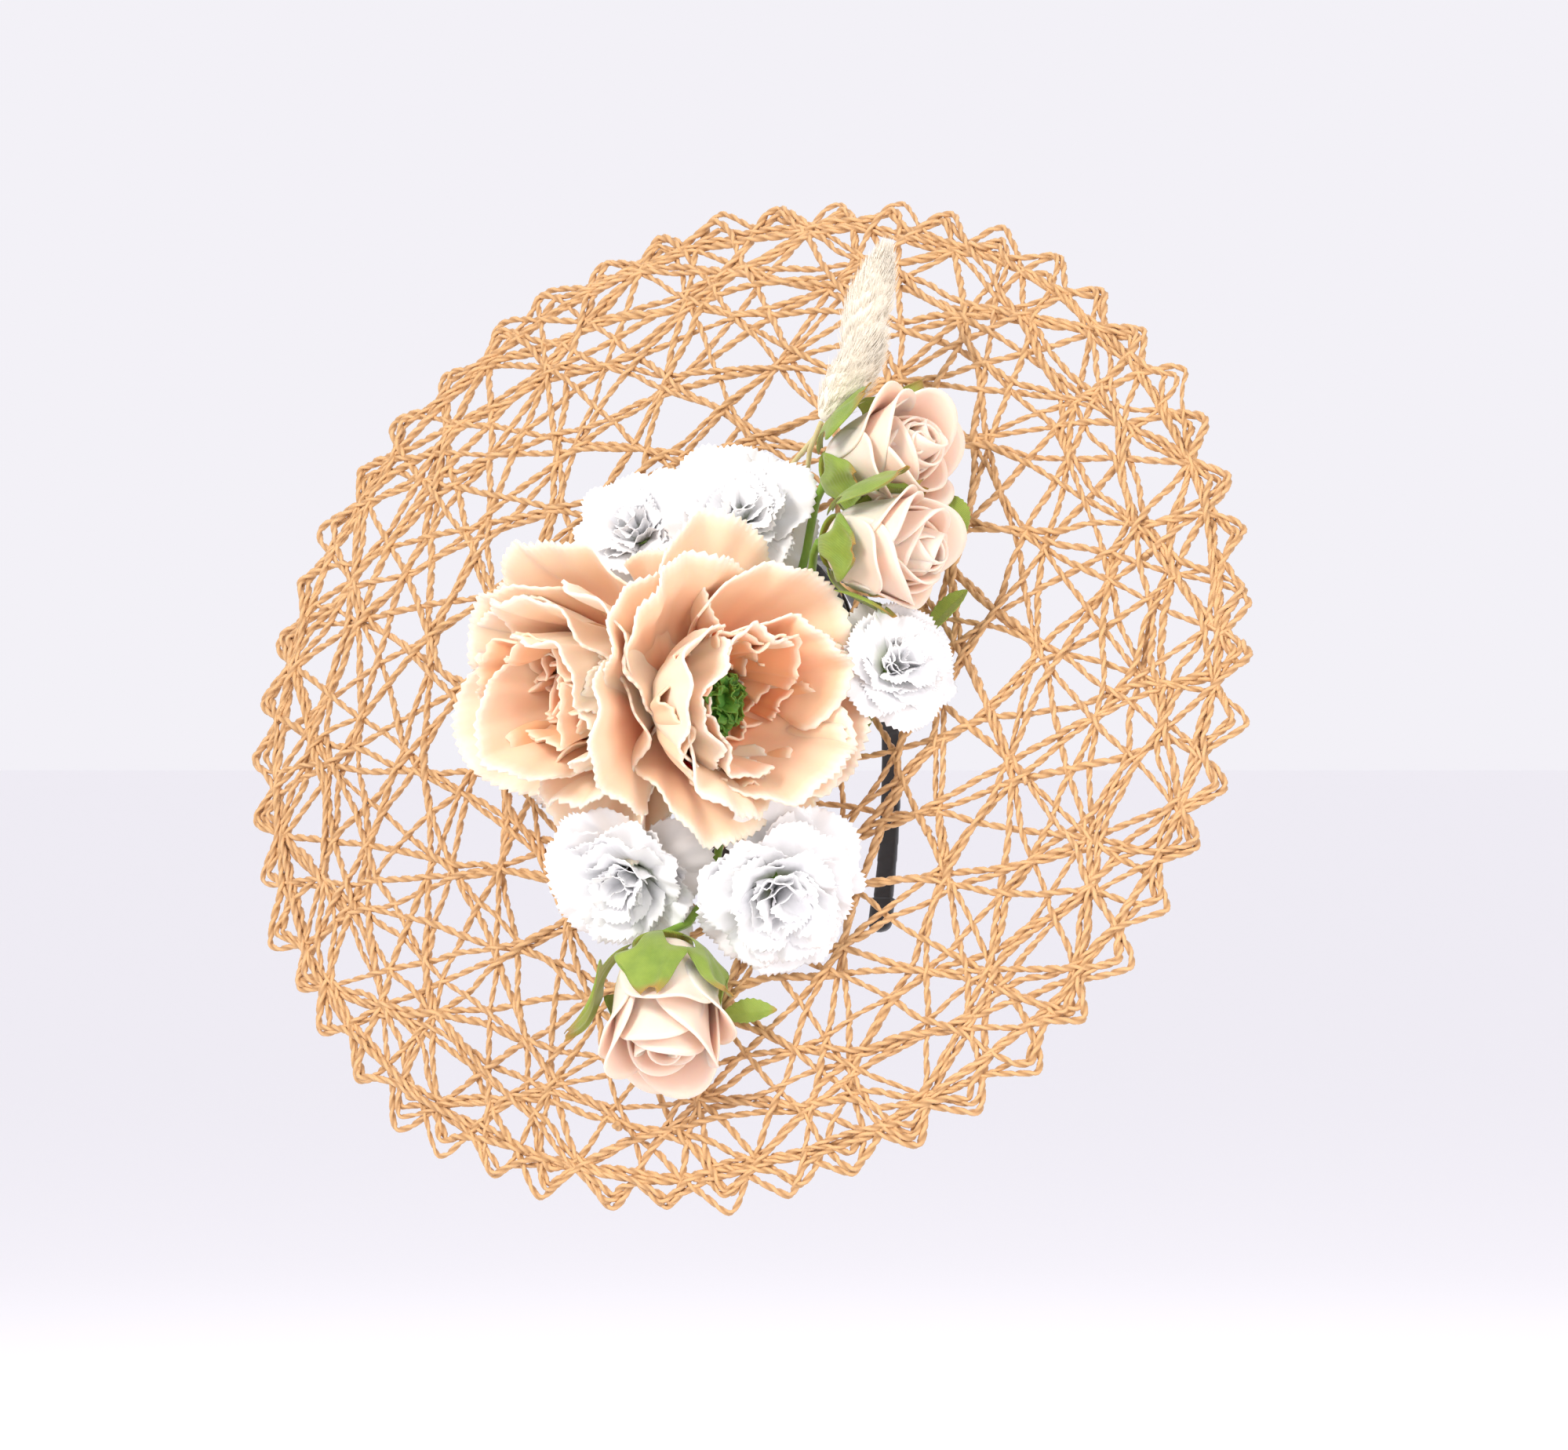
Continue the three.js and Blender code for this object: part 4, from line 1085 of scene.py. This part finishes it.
for name, seed in (("grass_long", 61), ("grass_short", 62)):
    draw = np.random.default_rng(seed)
    foot, top, way = node_axis(f"{name}_head")
    length = np.linalg.norm(top - foot)
    side = unit(np.cross(way, (0.2, 0.1, 1)))
    turn = np.array([side, np.cross(way, side), way])
    girth = 7.4 * np.sin(np.clip(np.linspace(0.06, 0.97, 14), 0, 1) * math.pi) ** 0.62
    profile = ([(0, 0)] + [(g, length * s) for g, s in zip(girth, np.linspace(0.03, 0.93, 14))]
               + [(0, length * 0.96)])
    fluff = Whorl()
    egg, egg_faces = turned_round(profile, 28, lambda r, h, a: (
        r * (1 + 0.06 * np.sin(9 * a + h) + 0.05 * np.sin(5 * a - 0.8 * h)), h))
    fluff.add(egg, egg_faces, {"reach": 0.2})
    share = draw.uniform(0.02, 0.95, HAIRS)
    around = draw.uniform(0, 2 * math.pi, HAIRS)
    root_radius = np.interp(share, np.linspace(0.03, 0.93, 14), girth) * 0.85
    outward = np.stack([np.cos(around), np.sin(around), np.zeros(HAIRS)], -1)
    roots = outward * root_radius[:, None] + np.array([0, 0, 1]) * (share * length)[:, None]
    splay = draw.uniform(0.25, 0.62, HAIRS) * np.clip(1.15 - share, 0.2, 1)
    drift = draw.normal(0, 0.12, (HAIRS, 3))
    aim_way = unit(outward * splay[:, None] + np.array([0, 0, 1]) + drift)
    reach = HAIR_LENGTH * draw.uniform(0.6, 1.1, HAIRS) * np.clip(1.25 - 0.55 * share, 0.4, 1)
    bow = outward * 0.5
    stops = np.array([0, 0.5, 1.0])
    spine = (roots[:, None] + aim_way[:, None] * (reach[:, None] * stops)[..., None]
             + bow[:, None] * np.array([0, 0.8, -0.4])[None, :, None])
    cross = unit(np.cross(aim_way, outward))
    other = np.cross(aim_way, cross)
    ring = np.stack([cross, -0.5 * cross + 0.87 * other, -0.5 * cross - 0.87 * other], 1)
    width = np.array([0.15, 0.12, 0.03])
    hair = spine[:, :, None] + ring[:, None] * width[None, :, None, None]
    first = np.arange(HAIRS)[:, None] * 9
    around_faces = np.array([(s * 3 + c, s * 3 + (c + 1) % 3, s * 3 + 3 + (c + 1) % 3,
                              s * 3 + 3 + c) for s in (0, 1) for c in (0, 1, 2)])
    quads = (first[:, None] + around_faces[None]).reshape(-1, 4)
    ends = np.concatenate([first + np.array([[2, 1, 0]]), first + np.array([[6, 7, 8]])])
    fluff.add(hair.reshape(-1, 3), [quads, ends], {"reach": 0.9})
    head = fluff.piece(f"{name}_fluff", lambda points: points @ turn + foot, bunny_tail)
    settle(head, f"{name}_head")

# ------------------------------------------------------------------ stems
# Wire cores sheathed in green plastic, and thin straw for the grasses. Each runs from the back
# of its flower down into the glue.
for name in ("peony_right", "peony_left", "rose_upper", "rose_middle", "rose_lower"):
    add_rounded(f"{name}_stem", 0.0001, green_stem)
for name in ("grass_long", "grass_short"):
    add_rounded(f"{name}_stem", 0.0001, straw_stem)

# ------------------------------------------------------------------ loose leaves
# Small satin leaves on the sepals' own wires, pushed in behind the flowers. Each is creased
# along its midrib, with a notched edge.
for name, facing, turn_by in (("leaf_upper", (0.2, 0.3, 0.93), 0.5),
                              ("leaf_middle", (-0.2, 0.1, 0.97), 2.4),
                              ("leaf_right", (0.1, 0, 0.99), 5.6),
                              ("leaf_lower", (0.1, 0.1, 0.98), 4.9)):
    place = flower_place(name, facing)
    u = np.linspace(-1, 1, 21)[None]
    v = np.linspace(0.01, 0.99, 41)[:, None]
    notch = 1 - 0.12 * np.abs((v * 9) % 1 - 0.5) * 2
    half = 5.2 * np.sin(v * math.pi) ** 0.8 * notch
    grid = np.stack([u * half, (v - 0.5) * 22 + 0 * u,
                     1.0 + np.abs(u) * half * 0.28 - 2.2 * (v - 0.3) ** 2 + 0.25 * np.sin(9 * v)
                     * u], -1)
    leaf = Whorl()
    points, faces = sheet_body(spun(grid, turn_by), 0.35)
    leaf.add(points, faces, {"reach": np.tile(np.broadcast_to(v, (41, 21)).ravel(), 2)})
    settle(leaf.piece(f"{name}_satin", place, green_leaf), name)

# ------------------------------------------------------------------ studio
# A plain pale floor well below the headpiece that runs out of sight under an even pale sky.
# Three soft round lights stand in front, to the right and behind, each slightly warm.
FLOOR_GAP, FLOOR_REACH = 0.16, 60.0
floor_z = cad_low.z - FLOOR_GAP
floor_points = [(x * FLOOR_REACH, y * FLOOR_REACH, floor_z)
                for x, y in ((-1, -1), (1, -1), (1, 1), (-1, 1))]
backdrop, _, backdrop_shader = new_finish("backdrop", 0.9)
backdrop_shader.inputs["Base Color"].default_value = (0.96, 0.95, 0.97, 1)
make_piece("studio_floor", np.array(floor_points), [np.array([(0, 1, 2, 3)])],
                    backdrop)

world = bpy.data.worlds.new("studio")
bpy.context.scene.world = world
world.use_nodes = True
world.node_tree.nodes["Background"].inputs["Color"].default_value = colour(243, 241, 247)
world.node_tree.nodes["Background"].inputs["Strength"].default_value = 1.0


def soft_light(name, place, aim, size, power):
    light = bpy.data.lights.new(name, "AREA")
    light.shape, light.size, light.energy = "DISK", size, power
    light.color, light.spread = (1.0, 0.96, 0.91), math.radians(60)
    made = bpy.data.objects.new(name, light)
    bpy.context.scene.collection.objects.link(made)
    made.location = place
    made.rotation_euler = (Vector(aim) - Vector(place)).to_track_quat("-Z", "Y").to_euler()


middle = (cad_low + cad_high) / 2
soft_light("key", (-0.5, -2.6, 1.5), middle, 1.1, 6.5)
soft_light("fill", (2.4, -1.2, 0.6), middle, 1.4, 3.0)
soft_light("back", (-0.8, 2.2, 1.8), middle, 1.6, 3.0)

# ------------------------------------------------------------------ camera
# Level with the disc, three metres away, and turned 25.6 degrees from straight in front. The
# long lens and the small shift to one side set how the disc sits in the frame.
AZIMUTH = math.radians(25.6)
DISTANCE = 3.0
right = Vector((math.cos(AZIMUTH), math.sin(AZIMUTH), 0))
back = Vector((math.sin(AZIMUTH), -math.cos(AZIMUTH), 0))
rim_centre = Vector(disc_centre) - Vector(disc_axis) * (DOME_DROP * 0.001)
aim = rim_centre + right * 0.0165 - Vector((0, 0, 0.0113))
camera = bpy.data.cameras.new("camera")
camera.lens, camera.sensor_width = 181.8, 36
camera.clip_end = 60
camera_object = bpy.data.objects.new("camera", camera)
bpy.context.scene.collection.objects.link(camera_object)
camera_object.location = aim + back * DISTANCE
camera_object.rotation_euler = (-back).to_track_quat("-Z", "Y").to_euler()
bpy.context.scene.camera = camera_object
bpy.context.scene.view_settings.view_transform = "Standard"
